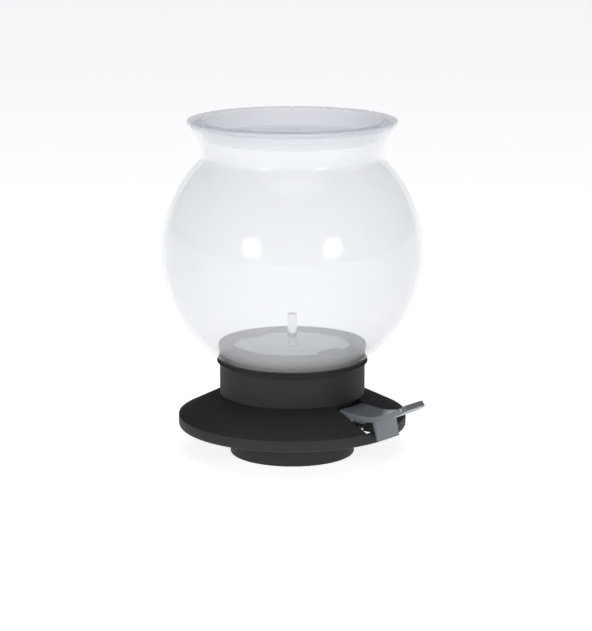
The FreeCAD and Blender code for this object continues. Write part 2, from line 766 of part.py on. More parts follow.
def make_base_body():
    body = new_body("base_body")
    lip_out = lip_radius - collar_radius
    lip_start = lip_top - size.lip_land - size.lip_rise
    lip_bend = (lip_out * lip_out + size.lip_rise * size.lip_rise) / (lip_out * 2)
    inner_wall = body_radius - size.body_wall
    groove_low = groove_level - size.groove_height / 2
    groove_high = groove_level + size.groove_height / 2
    groove_floor = tube_outer - size.groove_depth
    dish = globe_arc + size.gasket
    revolve(body, "casting", [
        (body_radius, body_bottom),
        (body_radius, collar_bottom),
        (collar_radius, collar_bottom),
        (collar_radius, lip_start, Bend("right", lip_bend)),
        (lip_radius, lip_top - size.lip_land),
        (lip_radius, lip_top),
        (lip_inner, lip_top, Bend("right", dish)),
        (bore_radius, below_globe(dish, bore_radius)),
        (bore_radius, ledge_depth),
        (neck_inner, ledge_depth),
        (size.seat_radius, seat_height),
        (size.throat_radius, seat_height),
        (size.throat_radius, throat_bottom),
        (size.tube_radius, throat_bottom),
        (size.tube_radius, tube_bottom),
        (tube_outer, tube_bottom),
        (tube_outer, groove_low),
        (groove_floor, groove_low),
        (groove_floor, groove_high),
        (tube_outer, groove_high),
        (tube_outer, seat_height - size.body_wall),
        (neck_inner, funnel_under),
        (inner_wall, funnel_under),
        (inner_wall, body_bottom),
    ])
    soften(body, "collar_round", [(collar_radius, collar_bottom)], size.mould_round)

    ledge = new_sketch(body, "ledge_outline", "XY_Plane", ledge_bottom)
    sector(ledge, bore_radius - size.ledge_reach, bore_radius + size.ledge_reach / 2,
           size.ledge_span)
    first_ledge = pad(body, "ledge", ledge, size.ledge_height)
    repeat(body, "ledges", first_ledge, LUGS)

    bosses = new_sketch(body, "boss_outline", "XY_Plane", plate_top)
    circles(bosses, around(SCREWS, screw_circle, size.screw_angle), size.boss_radius)
    pad(body, "bosses", bosses, funnel_under - plate_top + size.body_wall / 4)

    half_bracket = size.bracket_width / 2
    brackets = new_sketch(body, "bracket_outline")
    outline(brackets, [
        (pivot_reach - half_bracket, plate_top + size.margin),
        (pivot_reach + half_bracket, plate_top + size.margin),
        (pivot_reach + half_bracket, funnel_under + size.body_wall / 5),
        (pivot_reach - half_bracket, funnel_under + size.body_wall / 5),
    ])
    pad(body, "bracket_block", brackets, bracket_outer * 2, symmetric=True)
    between = new_sketch(body, "between_outline")
    outline(between, [
        (pivot_reach - half_bracket - size.margin, body_bottom - size.margin * 2),
        (body_radius + size.margin * 3, body_bottom - size.margin * 2),
        (body_radius + size.margin * 3, pad_height - size.margin),
        (pivot_reach + half_bracket, pad_height - size.margin),
        (pivot_reach + half_bracket, funnel_under - size.skin),
        (pivot_reach - half_bracket - size.margin, funnel_under - size.margin * 2),
    ])
    cut(body, "lever_slot", between, half_brackets * 2, symmetric=True)

    pivot = new_sketch(body, "pivot_outline")
    circles(pivot, [(pivot_reach, pivot_height)], size.pivot_radius + size.skin / 2)
    cut(body, "pivot_bore", pivot, bracket_outer * 2 + size.margin * 2, symmetric=True)

    window = new_sketch(body, "window_outline", "YZ_Plane")
    half_window = size.finger_width / 2 + size.window_play
    outline(window, [
        (-half_window, finger_bottom - size.window_drop),
        (half_window, finger_bottom - size.window_drop),
        (half_window, throat_bottom),
        (-half_window, throat_bottom),
    ])
    cut(body, "finger_window", window, tube_outer + size.margin, turned=True)

    holes = new_sketch(body, "screw_hole_outline", "XY_Plane", plate_top)
    circles(holes, around(SCREWS, screw_circle, size.screw_angle), size.screw_radius + size.skin)
    cut(body, "screw_holes", holes, size.screw_length, turned=True)


def make_drip_nozzle():
    body = new_body("drip_nozzle")
    sleeve_outer = socket_radius + size.spout_wall
    shoulder = tube_bottom - size.frame_gap
    cone = size.spout_bottom + size.spout_radius
    revolve(body, "nozzle", [
        (socket_radius, groove_level + size.sleeve_rise),
        (socket_radius, shoulder),
        (size.tube_radius - size.shoulder_in, shoulder),
        (size.spout_radius, cone),
        (size.spout_radius, size.spout_bottom),
        (size.spout_radius + size.spout_wall, size.spout_bottom),
        (size.spout_radius + size.spout_wall, cone),
        (sleeve_outer, shoulder - size.spout_wall),
        (sleeve_outer, groove_level + size.sleeve_rise),
    ])
    soften(body, "lip_round", [(size.spout_radius + size.spout_wall, size.spout_bottom)],
           size.mould_round)


def make_nozzle_oring():
    body = new_body("nozzle_oring")
    section = (size.groove_depth + size.frame_gap) / 2 - size.skin
    middle = tube_outer - size.groove_depth + section + size.skin / 2
    ring = new_sketch(body, "ring_profile")
    circles(ring, [(middle, groove_level)], section)
    turned = body.newObject("PartDesign::Revolution", "ring")
    turned.Profile = ring
    turned.ReferenceAxis = (ring, ["V_Axis"])
    turned.Angle = 360


def make_skirt_shell():
    body = new_body("skirt_shell")
    hub_inner = body_radius + size.frame_gap
    hub_bottom = plate_top + size.skin
    rim_corner = size.rim_bottom + size.rim_height
    rim_inner = size.rim_radius - size.skirt_wall
    slope = size.skirt_rise / (size.rim_radius - collar_radius)
    under = size.skirt_wall * size.cone_wall
    revolve(body, "cone", [
        (hub_inner, hub_bottom),
        (collar_radius, hub_bottom),
        (collar_radius, skirt_top - under),
        (rim_inner, rim_corner + slope * size.skirt_wall - under),
        (rim_inner, size.rim_bottom),
        (size.rim_radius, size.rim_bottom),
        (size.rim_radius, rim_corner),
        (collar_radius, skirt_top),
        (hub_inner, skirt_top),
    ])
    soften(body, "rim_round", [(size.rim_radius, size.rim_bottom)], size.rim_round)
    soften(body, "edge_round", [(size.rim_radius, rim_corner), (rim_inner, size.rim_bottom)],
           size.mould_round)
    rib_start = collar_radius - size.skirt_wall / 2
    bite = under * size.rib_bite
    ribs = new_sketch(body, "rib_outline")
    outline(ribs, [
        (rib_start, hub_bottom),
        (collar_radius + size.margin, hub_bottom),
        (collar_radius + size.margin, size.rim_bottom),
        (rim_inner, size.rim_bottom),
        (rim_inner, rim_corner - under + bite),
        (rib_start, skirt_top - bite),
    ])
    pad(body, "ribs", ribs, (half_notch + size.rib_wall) * 2, symmetric=True)
    sill = size.rim_bottom + size.sill
    notch_end = other_side(rim_inner, half_notch)
    notch = new_sketch(body, "notch_outline")
    outline(notch, [
        (body_radius - size.margin * 3, size.rim_bottom - size.margin),
        (notch_end, size.rim_bottom - size.margin),
        (notch_end, sill),
        (size.rim_radius + size.margin, sill),
        (size.rim_radius + size.margin, skirt_top + size.margin),
        (body_radius - size.margin * 3, skirt_top + size.margin),
    ])
    cut(body, "notch", notch, half_notch * 2, symmetric=True)


def make_foot_ring():
    body = new_body("foot_ring")
    revolve(body, "spigot", [
        (size.foot_radius - size.foot_wall, 0),
        (size.foot_radius, 0),
        (size.foot_radius, size.foot_height),
        (collar_radius - size.frame_gap, size.foot_height),
        (collar_radius - size.frame_gap, plate_top),
        (size.foot_hole, plate_top),
        (size.foot_hole, size.foot_height),
        (size.foot_radius - size.foot_wall, size.foot_height),
    ])
    soften(body, "bottom_round", [(size.foot_radius - size.foot_wall, 0)], size.foot_round)
    holes = new_sketch(body, "hole_outline", "XY_Plane", plate_top)
    circles(holes, around(SCREWS, screw_circle, size.screw_angle), size.screw_radius + size.play)
    cut(body, "holes", holes, size.foot_wall)


def make_base_screws():
    body = new_body("base_screws")
    body.AllowCompound = True
    places = around(SCREWS, screw_circle, size.screw_angle)
    heads = new_sketch(body, "head_outline", "XY_Plane", size.foot_height - size.head_height)
    circles(heads, places, size.head_radius)
    pad(body, "heads", heads, size.head_height)
    shanks = new_sketch(body, "shank_outline", "XY_Plane", size.foot_height - size.head_height / 2)
    circles(shanks, places, size.screw_radius)
    pad(body, "shanks", shanks, size.screw_length + size.head_height / 2)
    drives = new_sketch(body, "drive_outline", "XY_Plane", size.foot_height - size.head_height)
    circles(drives, places, size.drive_radius)
    cut(body, "drives", drives, size.drive_depth, turned=True)


# ---------------------------------------------------------------- lever and its pivot

def on_its_side(body):
    """Lays a turned piece along Y at the lever's pivot."""
    body.Placement = FreeCAD.Placement(
        FreeCAD.Vector(pivot_reach.value, 0, pivot_height.value),
        FreeCAD.Rotation(FreeCAD.Vector(1, 0, 0), -90))
    body.setExpression("Placement.Base.x", pivot_reach.text)
    body.setExpression("Placement.Base.z", pivot_height.text)


def make_pivot_pin():
    body = new_body("pivot_pin")
    head_inner = -bracket_outer - size.skin
    neck = size.pivot_radius - size.clip_bite
    end = pivot_clip_end + size.pivot_end
    revolve(body, "rod", [
        (0, head_inner - size.pivot_end),
        (pivot_head, head_inner - size.pivot_end),
        (pivot_head, head_inner),
        (size.pivot_radius, head_inner),
        (size.pivot_radius, pivot_groove),
        (neck, pivot_groove),
        (neck, pivot_clip_end),
        (size.pivot_radius, pivot_clip_end),
        (size.pivot_radius, end),
        (0, end),
    ])
    on_its_side(body)


def make_pivot_retainer():
    bore = size.pivot_radius - size.clip_bite + size.skin
    body = clip("pivot_retainer", bore, pivot_head)
    on_its_side(body)
    level = pivot_groove + size.skin / 2
    body.Placement.Base.y = level.value
    body.setExpression("Placement.Base.y", level.text)


def make_lever():
    body = new_body("lever")
    centre_height = pad_low_height + size.pad_bend
    under_bend = size.pad_bend + size.pad_thickness
    tip_run = pad_tip - pad_low_reach
    tip_drop = other_side(size.pad_bend, tip_run)
    under_scale = under_bend / size.pad_bend
    bend_run = pad_bend_start - pad_low_reach
    bend_height = centre_height - other_side(size.pad_bend, bend_run)

    plate = new_sketch(body, "plate_outline")
    outline(plate, [
        (pad_start, pad_height - size.pad_thickness),
        (pad_bend_start, centre_height - other_side(under_bend, bend_run), Bend("left", under_bend)),
        (pad_low_reach + tip_run * under_scale, centre_height - tip_drop * under_scale),
        (pad_tip, centre_height - tip_drop, Bend("right", size.pad_bend)),
        (pad_bend_start, bend_height),
        (pad_start, pad_height),
    ])
    pad(body, "plate", plate, size.lever_width, symmetric=True)

    hanging = new_sketch(body, "leg_outline")
    leg_height = pad_low_height - size.pad_thickness / 2
    outline(hanging, [
        (leg_bottom, leg_end),
        (leg_bottom + size.leg_thin, leg_end),
        (leg_top + size.leg_thick, leg_height),
        (leg_top, leg_height),
    ])
    pad(body, "hanging_leg", hanging, size.leg_width, symmetric=True)

    arm = new_sketch(body, "arm_outline")
    outline(arm, [
        (pivot_reach, pivot_height - size.hub_radius),
        (pivot_reach + size.hub_radius, cheek_bottom),
        (cheek_reach - size.cheek_run, cheek_bottom),
        (cheek_reach, leg_height),
        (pad_start, pad_height - size.pad_thickness / 2),
        (pad_start, pad_height - size.pad_thickness),
        (pivot_reach, pivot_height + size.hub_radius),
    ])
    pad(body, "arm", arm, size.lever_width, symmetric=True)

    hollow = new_sketch(body, "hollow_outline")
    hollow_start = pivot_reach + size.hub_radius + size.arm_web
    hollow_top = pad_low_height - size.pad_thickness
    outline(hollow, [
        (hollow_start, cheek_bottom - size.margin),
        (cheek_reach + size.margin, cheek_bottom - size.margin),
        (cheek_reach + size.margin, hollow_top),
        (pad_start, hollow_top),
        (hollow_start, pivot_height + size.hub_radius - size.skin),
    ])
    cut(body, "hollow", hollow, size.lever_width - size.cheek_wall * 2, symmetric=True)

    hub = new_sketch(body, "hub_outline")
    circles(hub, [(pivot_reach, pivot_height)], size.hub_radius)
    pad(body, "hub", hub, size.lever_width, symmetric=True)

    finger = new_sketch(body, "finger_outline")
    elbow = pivot_reach / 2
    outline(finger, [
        (-size.finger_over, finger_bottom),
        (elbow, finger_bottom),
        (pivot_reach - size.hub_radius * size.root_high, pivot_height - size.hub_radius * size.root_low),
        (pivot_reach, pivot_height + size.hub_radius * size.root_high),
        (elbow + size.finger_drop, finger_top),
        (-size.finger_over, finger_top),
    ])
    pad(body, "finger", finger, size.finger_width, symmetric=True)

    bore = new_sketch(body, "bore_outline")
    circles(bore, [(pivot_reach, pivot_height)], size.pivot_radius + size.pivot_play)
    cut(body, "bore", bore, size.lever_width + size.margin * 2, symmetric=True)
    round_lever(body, tip_run, tip_drop, under_scale, centre_height)


def round_lever(body, tip_run, tip_drop, under_scale, centre_height):
    """Rounds the tip's two corners in plan."""
    doc.recompute()
    feature = body.Tip
    tip_low = centre_height.value - tip_drop.value * under_scale.value
    names = []
    for index, edge in enumerate(feature.Shape.Edges, start=1):
        middle = edge.CenterOfMass
        at_side = abs(abs(middle.y) - half_lever.value) < 0.01
        short = abs(edge.Length - size.pad_thickness.value) < 0.01
        at_tip = middle.x > (pad_tip - size.margin).value and middle.z > tip_low - size.margin.value
        if at_side and short and at_tip:
            names.append("Edge%d" % index)
    corners = body.newObject("PartDesign::Fillet", "tip_corners")
    corners.Base = (feature, names)
    corners.setExpression("Radius", size.pad_corner.text)


# ---------------------------------------------------------------- build and write

def check():
    """Every object has to have recomputed, and every sub-part has to be a valid shape."""
    for thing in doc.Objects:
        if "Invalid" in thing.State or "Error" in thing.State:
            raise RuntimeError("%s did not recompute: %s" % (thing.Label, thing.State))
    for body in doc.findObjects("PartDesign::Body"):
        if body.Shape.isNull() or not body.Shape.isValid() or not body.Shape.Solids:
            raise RuntimeError("%s has no valid solid" % body.Label)


def main():
    for make in (make_glass_globe, make_glass_seat_gasket, make_lid, make_clamp_ring,
                 make_clamp_ring_gasket, make_neck_gasket, make_filter_frame, make_filter_mesh,
                 make_filter_eyelet, make_valve_pin, make_valve_seal, make_valve_weight,
                 make_valve_washer, make_valve_clip, make_base_body, make_drip_nozzle,
                 make_nozzle_oring, make_skirt_shell, make_foot_ring, make_base_screws,
                 make_pivot_pin, make_pivot_retainer, make_lever):
        make()
    doc.recompute()
    check()
    os.makedirs("parts", exist_ok=True)
    for body in doc.findObjects("PartDesign::Body"):
        body.Shape.exportStep(os.path.join("parts", body.Label + ".step"))


main()
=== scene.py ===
import math

import bmesh
import bpy
from bpy.props import FloatProperty, FloatVectorProperty, IntProperty, PointerProperty
from mathutils import Matrix, Vector


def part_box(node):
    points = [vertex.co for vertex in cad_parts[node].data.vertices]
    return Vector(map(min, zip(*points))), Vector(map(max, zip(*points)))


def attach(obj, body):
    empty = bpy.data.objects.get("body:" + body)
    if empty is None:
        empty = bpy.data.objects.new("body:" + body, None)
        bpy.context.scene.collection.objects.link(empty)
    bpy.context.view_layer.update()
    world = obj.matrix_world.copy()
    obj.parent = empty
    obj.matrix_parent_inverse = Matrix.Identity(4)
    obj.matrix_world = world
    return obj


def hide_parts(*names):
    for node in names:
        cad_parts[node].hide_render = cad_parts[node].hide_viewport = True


bl_info = {
    "name": "Glass coffee dripper",
    "version": (1, 0, 0),
    "blender": (4, 5, 0),
    "location": "View3D > Sidebar > Dripper",
    "description": "Builds a glass steep-and-release coffee dripper around its packed frame",
    "category": "Add Mesh",
}

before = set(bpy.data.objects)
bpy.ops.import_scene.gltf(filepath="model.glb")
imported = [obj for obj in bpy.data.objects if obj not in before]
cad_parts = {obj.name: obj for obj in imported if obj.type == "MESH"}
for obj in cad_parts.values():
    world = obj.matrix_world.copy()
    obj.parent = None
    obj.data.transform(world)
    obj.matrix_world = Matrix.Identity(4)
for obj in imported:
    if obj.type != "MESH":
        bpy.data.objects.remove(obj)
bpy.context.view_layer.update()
MM = 0.001
SHARP = math.radians(32)
BLEND = 0.05 * MM
LEVER_ROUND = 0.45 * MM
SHEEN_FOOT = 0.082
SHEEN_TOP = 0.1


def top_of(node):
    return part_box(node)[1].z


def foot_of(node):
    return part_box(node)[0].z


def radius_of(node):
    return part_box(node)[1].y


# ---------------------------------------------------------------- sizes and colours

def length(name, description, default):
    return FloatProperty(name=name, description=description, default=default, min=0.0,
                         unit="LENGTH", subtype="DISTANCE", precision=5)


def angle(name, description, degrees):
    return FloatProperty(name=name, description=description, default=math.radians(degrees),
                         unit="ROTATION", subtype="ANGLE")


def colour(name, description, default):
    return FloatVectorProperty(name=name, description=description, default=default,
                               size=3, min=0.0, max=1.0, subtype="COLOR")


def amount(name, description, default):
    return FloatProperty(name=name, description=description, default=default, min=0.0)


class DripperGlassSizes(bpy.types.PropertyGroup):
    offset: length("Arc offset", "How far the globe's arc centre stands off the axis", 1.45 * MM)
    wall: length("Wall", "Thickness of the blown glass", 2.4 * MM)
    port: length("Port", "Radius of the hole in the bottom", 31.0 * MM)
    neck: length("Neck", "Narrowest outside radius under the mouth", 44.64 * MM)
    neck_bend: length("Neck bend", "Radius of the bend between globe and neck", 4.97 * MM)
    flare_bend: length("Flare bend", "Radius of the mouth's flare", 19.43 * MM)
    flare_rise: length("Flare rise", "Height of the mouth above the neck", 13.05 * MM)
    seat: length("Seat", "Silicone between lip and glass", 1.5 * MM)


class DripperLidSizes(bpy.types.PropertyGroup):
    wall: length("Wall", "Thickness of the lid", 1.6 * MM)
    brim: length("Brim", "Outer radius of the flat brim", 51.7 * MM)
    recess: length("Recess", "Radius of the recess at the brim", 44.3 * MM)
    taper: length("Taper", "How much the recess narrows on its way down", 3.7 * MM)
    mark: length("Mark", "Width of the small mark across the brim", 1.8 * MM)
    mark_angle: angle("Mark angle", "Where the mark stands, from the lever", 130.0)


class DripperFootSizes(bpy.types.PropertyGroup):
    wall: length("Wall", "Thickness of the moulded walls", 2.2 * MM)
    collar: length("Collar", "Radius of the collar", 36.2 * MM)
    lip_rise: length("Lip rise", "Height of the flare up to the lip", 2.9 * MM)
    lip_land: length("Lip land", "Flat land on top of the lip", 0.5 * MM)
    bore: length("Bore", "Radius of the bore for the clamp ring's neck", 31.3 * MM)
    ledge: length("Ledge", "Height of the ledge in that bore", 39.0 * MM)
    body: length("Body", "Radius of the wall inside the skirt", 34.0 * MM)
    body_bottom: length("Body bottom", "Lower end of that wall", 17.0 * MM)
    seat_height: length("Seat height", "Height of the valve seat", 36.2 * MM)
    seat: length("Seat", "Outer radius of the valve seat", 10.5 * MM)
    throat: length("Throat", "Radius of the outlet in the seat", 6.0 * MM)
    tube: length("Tube", "Inner radius of the outlet tube", 7.5 * MM)
    tube_wall: length("Tube wall", "Wall of the outlet tube", 2.0 * MM)
    groove: length("Groove", "Depth of the groove for the O-ring", 1.1 * MM)
    rim_height: length("Rim height", "Height of the skirt's vertical rim", 5.6 * MM)
    skirt_wall: length("Skirt wall", "Thickness of the skirt", 2.0 * MM)
    sill: length("Sill", "Height of the rim that runs on under the lever", 5.2 * MM)
    rib: length("Rib", "Thickness of the rib each side of the notch", 2.0 * MM)
    spigot: length("Spigot", "Outer radius of the spigot", 31.1 * MM)
    spigot_height: length("Spigot height", "Height of the spigot under the skirt", 13.6 * MM)
    plate_hole: length("Plate hole", "Radius of the hole around the nozzle", 12.2 * MM)
    notch_play: length("Notch play", "Air each side of the lever in the skirt", 0.8 * MM)
    hub_play: length("Hub play", "Air each side of the lever between its brackets", 0.4 * MM)
    bracket: length("Bracket", "Thickness of a pivot bracket", 2.6 * MM)
    bracket_half: length("Bracket half", "Half of the length of a pivot bracket", 3.5 * MM)
    pivot_hole: length("Pivot hole", "Radius of the pivot's hole in the brackets", 1.525 * MM)
    slot_top: length("Slot top", "Upper end of the lever's slot in the inner wall", 27.9 * MM)
    window_half: length("Window half", "Half of the width of the window for the lever's finger", 3.9 * MM)
    window_drop: length("Window drop", "How far that window goes below the finger", 4.4 * MM)
    screw_circle: length("Screw circle", "Radius of the circle of screws", 25.2 * MM)
    boss: length("Boss", "Radius of a screw boss", 3.4 * MM)
    pilot: length("Pilot", "Radius of a screw's hole in its boss", 1.3 * MM)
    pilot_depth: length("Pilot depth", "Depth of that hole", 9.0 * MM)
    screw_hole: length("Screw hole", "Radius of a screw's hole in the foot ring", 1.55 * MM)
    stop_out: length("Stop out", "How far a bayonet ledge goes into the bore's wall", 0.7 * MM)
    stop_in: length("Stop in", "How far a bayonet ledge stands into the bore", 1.4 * MM)
    stop_height: length("Stop height", "Thickness of a bayonet ledge", 1.6 * MM)
    stop_lift: length("Stop lift", "Lower side of a ledge above the clamp ring's lower end", 2.25 * MM)
    stop_sweep: angle("Stop sweep", "Half of the angle that a bayonet ledge takes up", 25.0)


class DripperClampSizes(bpy.types.PropertyGroup):
    outer: length("Outer", "Outer radius of the clamp ring", 36.75 * MM)
    bore: length("Bore", "Inner radius of the clamp ring", 29.5 * MM)
    lug: length("Lug", "Reach of the bayonet lugs beyond that radius", 1.2 * MM)
    lug_bite: length("Lug bite", "How far a lug goes into the neck's wall", 1.0 * MM)
    lug_height: length("Lug height", "Top of a lug above the neck's lower end", 1.95 * MM)
    lug_sweep: angle("Lug sweep", "Half of the angle that a lug takes up", 18.0)
    neck_wall: length("Neck wall", "Wall of the clamp ring's neck", 2.1 * MM)
    side: length("Side", "Height of the ring's side above the glass", 4.05 * MM)
    gasket: length("Gasket", "Silicone between ring and glass", 1.3 * MM)
    float: length("Float", "Air between that silicone and the glass", 0.2 * MM)
    shelf: length("Shelf", "Depth of the filter's shelf below the top", 2.6 * MM)
    hoop_play: length("Hoop play", "Air around the filter's hoop", 0.2 * MM)
    hoop_wall: length("Hoop wall", "Wall of the filter's hoop", 0.55 * MM)
    hoop_drop: length("Hoop drop", "How far the hoop stays below the tabs", 0.95 * MM)
    tab_width: length("Tab width", "Width of a finger tab", 12.6 * MM)
    tab_reach: length("Tab reach", "Reach of a finger tab towards the middle", 4.1 * MM)
    tab_height: length("Tab height", "Thickness of a finger tab", 1.8 * MM)
    tab_round: length("Tab round", "Rounding of a finger tab's edges", 0.35 * MM)
    tab_angle: angle("Tab angle", "Where the tabs stand, from the lever", -7.0)
    wire: length("Wire", "Width of a wire of the mesh", 0.52 * MM)
    pitch: length("Pitch", "Distance from wire to wire", 0.95 * MM)
    hem: length("Hem", "Width of the hem around the mesh", 0.9 * MM)
    hole: length("Hole", "Radius of the hole for the eyelet", 3.3 * MM)
    mesh_turn: angle("Mesh turn", "How far the weave is turned from the lever", 20.0)


class DripperColours(bpy.types.PropertyGroup):
    glass: colour("Glass", "Tint of the blown glass", (0.955, 0.972, 0.99))
    lid: colour("Lid", "Tint of the clear plastic", (0.90, 0.91, 0.945))
    black: colour("Black", "Satin black moulding", (0.0035, 0.0038, 0.004))
    charcoal: colour("Charcoal", "Matt charcoal moulding", (0.022, 0.024, 0.023))
    grey: colour("Grey", "Cool grey moulding of the lever", (0.125, 0.138, 0.152))
    silicone: colour("Silicone", "Black silicone", (0.009, 0.009, 0.009))
    steel: colour("Steel", "Stainless steel", (0.56, 0.555, 0.545))


class DripperStageSizes(bpy.types.PropertyGroup):
    azimuth: angle("Azimuth", "Camera azimuth, from the front towards the lever", 40.0)
    distance: length("Distance", "Level distance from the axis to the camera", 1.17115)
    height: length("Height", "Height of the camera above the floor", 0.32561)
    pitch: angle("Pitch", "How far the camera looks down", 12.341)
    lens: amount("Lens", "Focal length in millimetres", 137.43)
    shift: amount("Shift", "Sideways shift of the lens", 0.00586)
    room: colour("Room", "Light of the room around the table", (0.10, 0.115, 0.14))
    floor: colour("Floor", "Pale table", (0.86, 0.86, 0.865))
    target: length("Target", "Height that the lights are aimed at", 0.09)
    softbox: amount("Softbox", "Strength of the two front softboxes", 16.0)
    softbox_turn: angle("Softbox turn", "Angle from the camera to each of them", 36.0)
    softbox_lift: angle("Softbox lift", "Height angle of both", 13.0)
    softbox_distance: length("Softbox distance", "Distance from the target", 1.5)
    softbox_radius: length("Softbox radius", "Radius of each", 0.3)
    overhead: amount("Overhead", "Strength of the light overhead", 2.4)
    glow: amount("Glow", "Light that the table gives off itself", 0.8)
    reach: length("Reach", "Radius of the table", 6.0)


class DripperSettings(bpy.types.PropertyGroup):
    glass: PointerProperty(type=DripperGlassSizes)
    lid: PointerProperty(type=DripperLidSizes)
    foot: PointerProperty(type=DripperFootSizes)
    clamp: PointerProperty(type=DripperClampSizes)
    colours: PointerProperty(type=DripperColours)
    stage: PointerProperty(type=DripperStageSizes)
    segments: IntProperty(name="Segments", description="Sides of a turned piece", default=192, min=24)


def settings():
    return bpy.context.scene.dripper


# ---------------------------------------------------------------- shader expressions

class Value:
    """A socket that takes part in Python expressions."""

    def __init__(self, shade, socket):
        self.shade = shade
        self.socket = socket

    def maths(self, operation, first, second):
        return self.shade.node("ShaderNodeMath", {"operation": operation}, {0: first, 1: second})

    def __add__(self, other):
        return self.maths("ADD", self, other)

    def __radd__(self, other):
        return self.maths("ADD", other, self)

    def __sub__(self, other):
        return self.maths("SUBTRACT", self, other)

    def __rsub__(self, other):
        return self.maths("SUBTRACT", other, self)

    def __mul__(self, other):
        return self.maths("MULTIPLY", self, other)

    def __rmul__(self, other):
        return self.maths("MULTIPLY", other, self)


class Shade:
    """One material and the nodes that are added to it."""

    def __init__(self, name):
        self.material = bpy.data.materials.new(name)
        self.material.use_nodes = True
        self.tree = self.material.node_tree
        self.surface = self.tree.nodes["Principled BSDF"]

    def put(self, socket, value):
        if isinstance(value, Value):
            self.tree.links.new(value.socket, socket)
        else:
            socket.default_value = value

    def node(self, kind, options=None, inputs=None, output=0):
        """Adds a node: its settings first, then the values or links of its sockets."""
        made = self.tree.nodes.new(kind)
        for key, value in (options or {}).items():
            if key == "stops":
                self.fill(made.color_ramp, value)
            else:
                setattr(made, key, value)
        for key, value in (inputs or {}).items():
            self.put(made.inputs[key], value)
        return Value(self, made.outputs[output])

    @staticmethod
    def fill(ramp, stops):
        while len(ramp.elements) < len(stops):
            ramp.elements.new(1.0)
        for element, (place, tone) in zip(ramp.elements, stops):
            element.position = place
            element.color = (*tone, 1.0) if len(tone) == 3 else tone

    def place(self, stretch=(1, 1, 1)):
        """The object's own coordinates, stretched."""
        spot = self.node("ShaderNodeTexCoord", output="Object")
        return self.node("ShaderNodeMapping", {}, {"Vector": spot, "Scale": stretch})

    def noise(self, scale, detail=2.0, rough=0.5, stretch=(1, 1, 1)):
        return self.node("ShaderNodeTexNoise", {}, {
            "Vector": self.place(stretch), "Scale": scale, "Detail": detail, "Roughness": rough})

    def grade(self, value, low, high):
        """Value from 0 to 1 mapped between two numbers."""
        return self.node("ShaderNodeMapRange", {"clamp": True}, {
            "Value": value, "From Min": 0.3, "From Max": 0.7, "To Min": low, "To Max": high})

    def mixed(self, factor, first, second):
        """One colour going over into another."""
        return self.node("ShaderNodeMix", {"data_type": "RGBA"}, {
            0: factor, 6: (*first, 1.0), 7: (*second, 1.0)}, output=2)

    def bump(self, height, distance, strength=1.0):
        return self.node("ShaderNodeBump", {}, {
            "Height": height, "Distance": distance, "Strength": strength})

    def set(self, **inputs):
        """Sets or links the surface's own sockets, named with _ for a space."""
        for key, value in inputs.items():
            self.put(self.surface.inputs[key.replace("_", " ")], value)
        return self.material


def scaled(tone, share):
    return tuple(part * share for part in tone)


def clear(name, stops, ripple, rough, gloss):
    """A clear shell whose colour darkens towards its silhouette, as painted shade for the dark room seen
    through its edges.
    """
    shade = Shade(name)
    # Painted shade: the base colour darkens with the facing weight towards the silhouette, standing in for
    # the dark room seen through the edges.
    facing = shade.node("ShaderNodeLayerWeight", {}, {"Blend": 0.5}, output="Facing")
    haze = (shade.noise(14.0, 1.0) - 0.5) * 0.03
    tint = shade.node("ShaderNodeValToRGB", {"stops": stops}, {"Fac": facing + haze})
    sheen = shade.node("ShaderNodeMapRange", {"clamp": True}, {
        "Value": facing, "From Min": 0.25, "From Max": 0.7, "To Min": gloss, "To Max": 0.02})
    height = shade.node("ShaderNodeSeparateXYZ", {}, {"Vector": shade.place()}, output="Z")
    lift = shade.node("ShaderNodeMapRange", {"clamp": True, "interpolation_type": "SMOOTHSTEP"}, {
        "Value": height, "From Min": SHEEN_FOOT, "From Max": SHEEN_TOP, "To Min": 0.0, "To Max": 1.0})
    waves = shade.noise(26.0, 1.0) + shade.noise(9.0, 0.0, 0.5, (1, 1, 0.35)) * 2.0
    return shade.set(
        Base_Color=tint, Transmission_Weight=1.0, IOR=1.13,
        Roughness=shade.grade(shade.noise(700.0, 2.0), 0.0, rough),
        Coat_Weight=sheen * lift, Coat_Roughness=0.07, Coat_IOR=1.6,
        Normal=shade.bump(waves, ripple, 0.5))


def blown_glass():
    tint = tuple(settings().colours.glass)
    # The darker stops towards the edge are painted shade for the dark room seen through the glass's
    # silhouette.
    stops = [(0.0, scaled((1.0, 0.99, 0.985), 0.955)), (0.3, scaled(tint, 0.94)), (0.6, scaled(tint, 0.86)),
             (0.8, scaled(tint, 0.74)), (1.0, scaled(tint, 0.42))]
    return clear("clear_glass", stops, 0.00012, 0.0, 1.0)


def clear_plastic():
    tint = tuple(settings().colours.lid)
    # The darker, navy last stops are painted shade for the dark room seen through the lid's edges.
    stops = [(0.0, scaled(tint, 1.06)), (0.5, scaled(tint, 1.03)), (0.8, scaled(tint, 0.9)),
             (0.93, scaled(tint, 0.7)), (1.0, scaled((0.7, 0.74, 1.0), 0.4))]
    return clear("clear_plastic", stops, 0.00006, 0.015, 0.6)


def black_plastic():
    shade = Shade("black_plastic")
    tone = tuple(settings().colours.black)
    grain = shade.noise(5200.0, 2.0, 0.6)
    cloud = shade.noise(55.0, 3.0)
    rub = shade.noise(320.0, 4.0, 0.7)
    return shade.set(
        Base_Color=shade.mixed(shade.grade(cloud, 0.0, 1.0), tone, scaled(tone, 1.6)),
        Roughness=shade.grade(rub, 0.34, 0.42), IOR=1.5, Specular_IOR_Level=0.2,
        Normal=shade.bump(grain, 0.00002, 0.35))


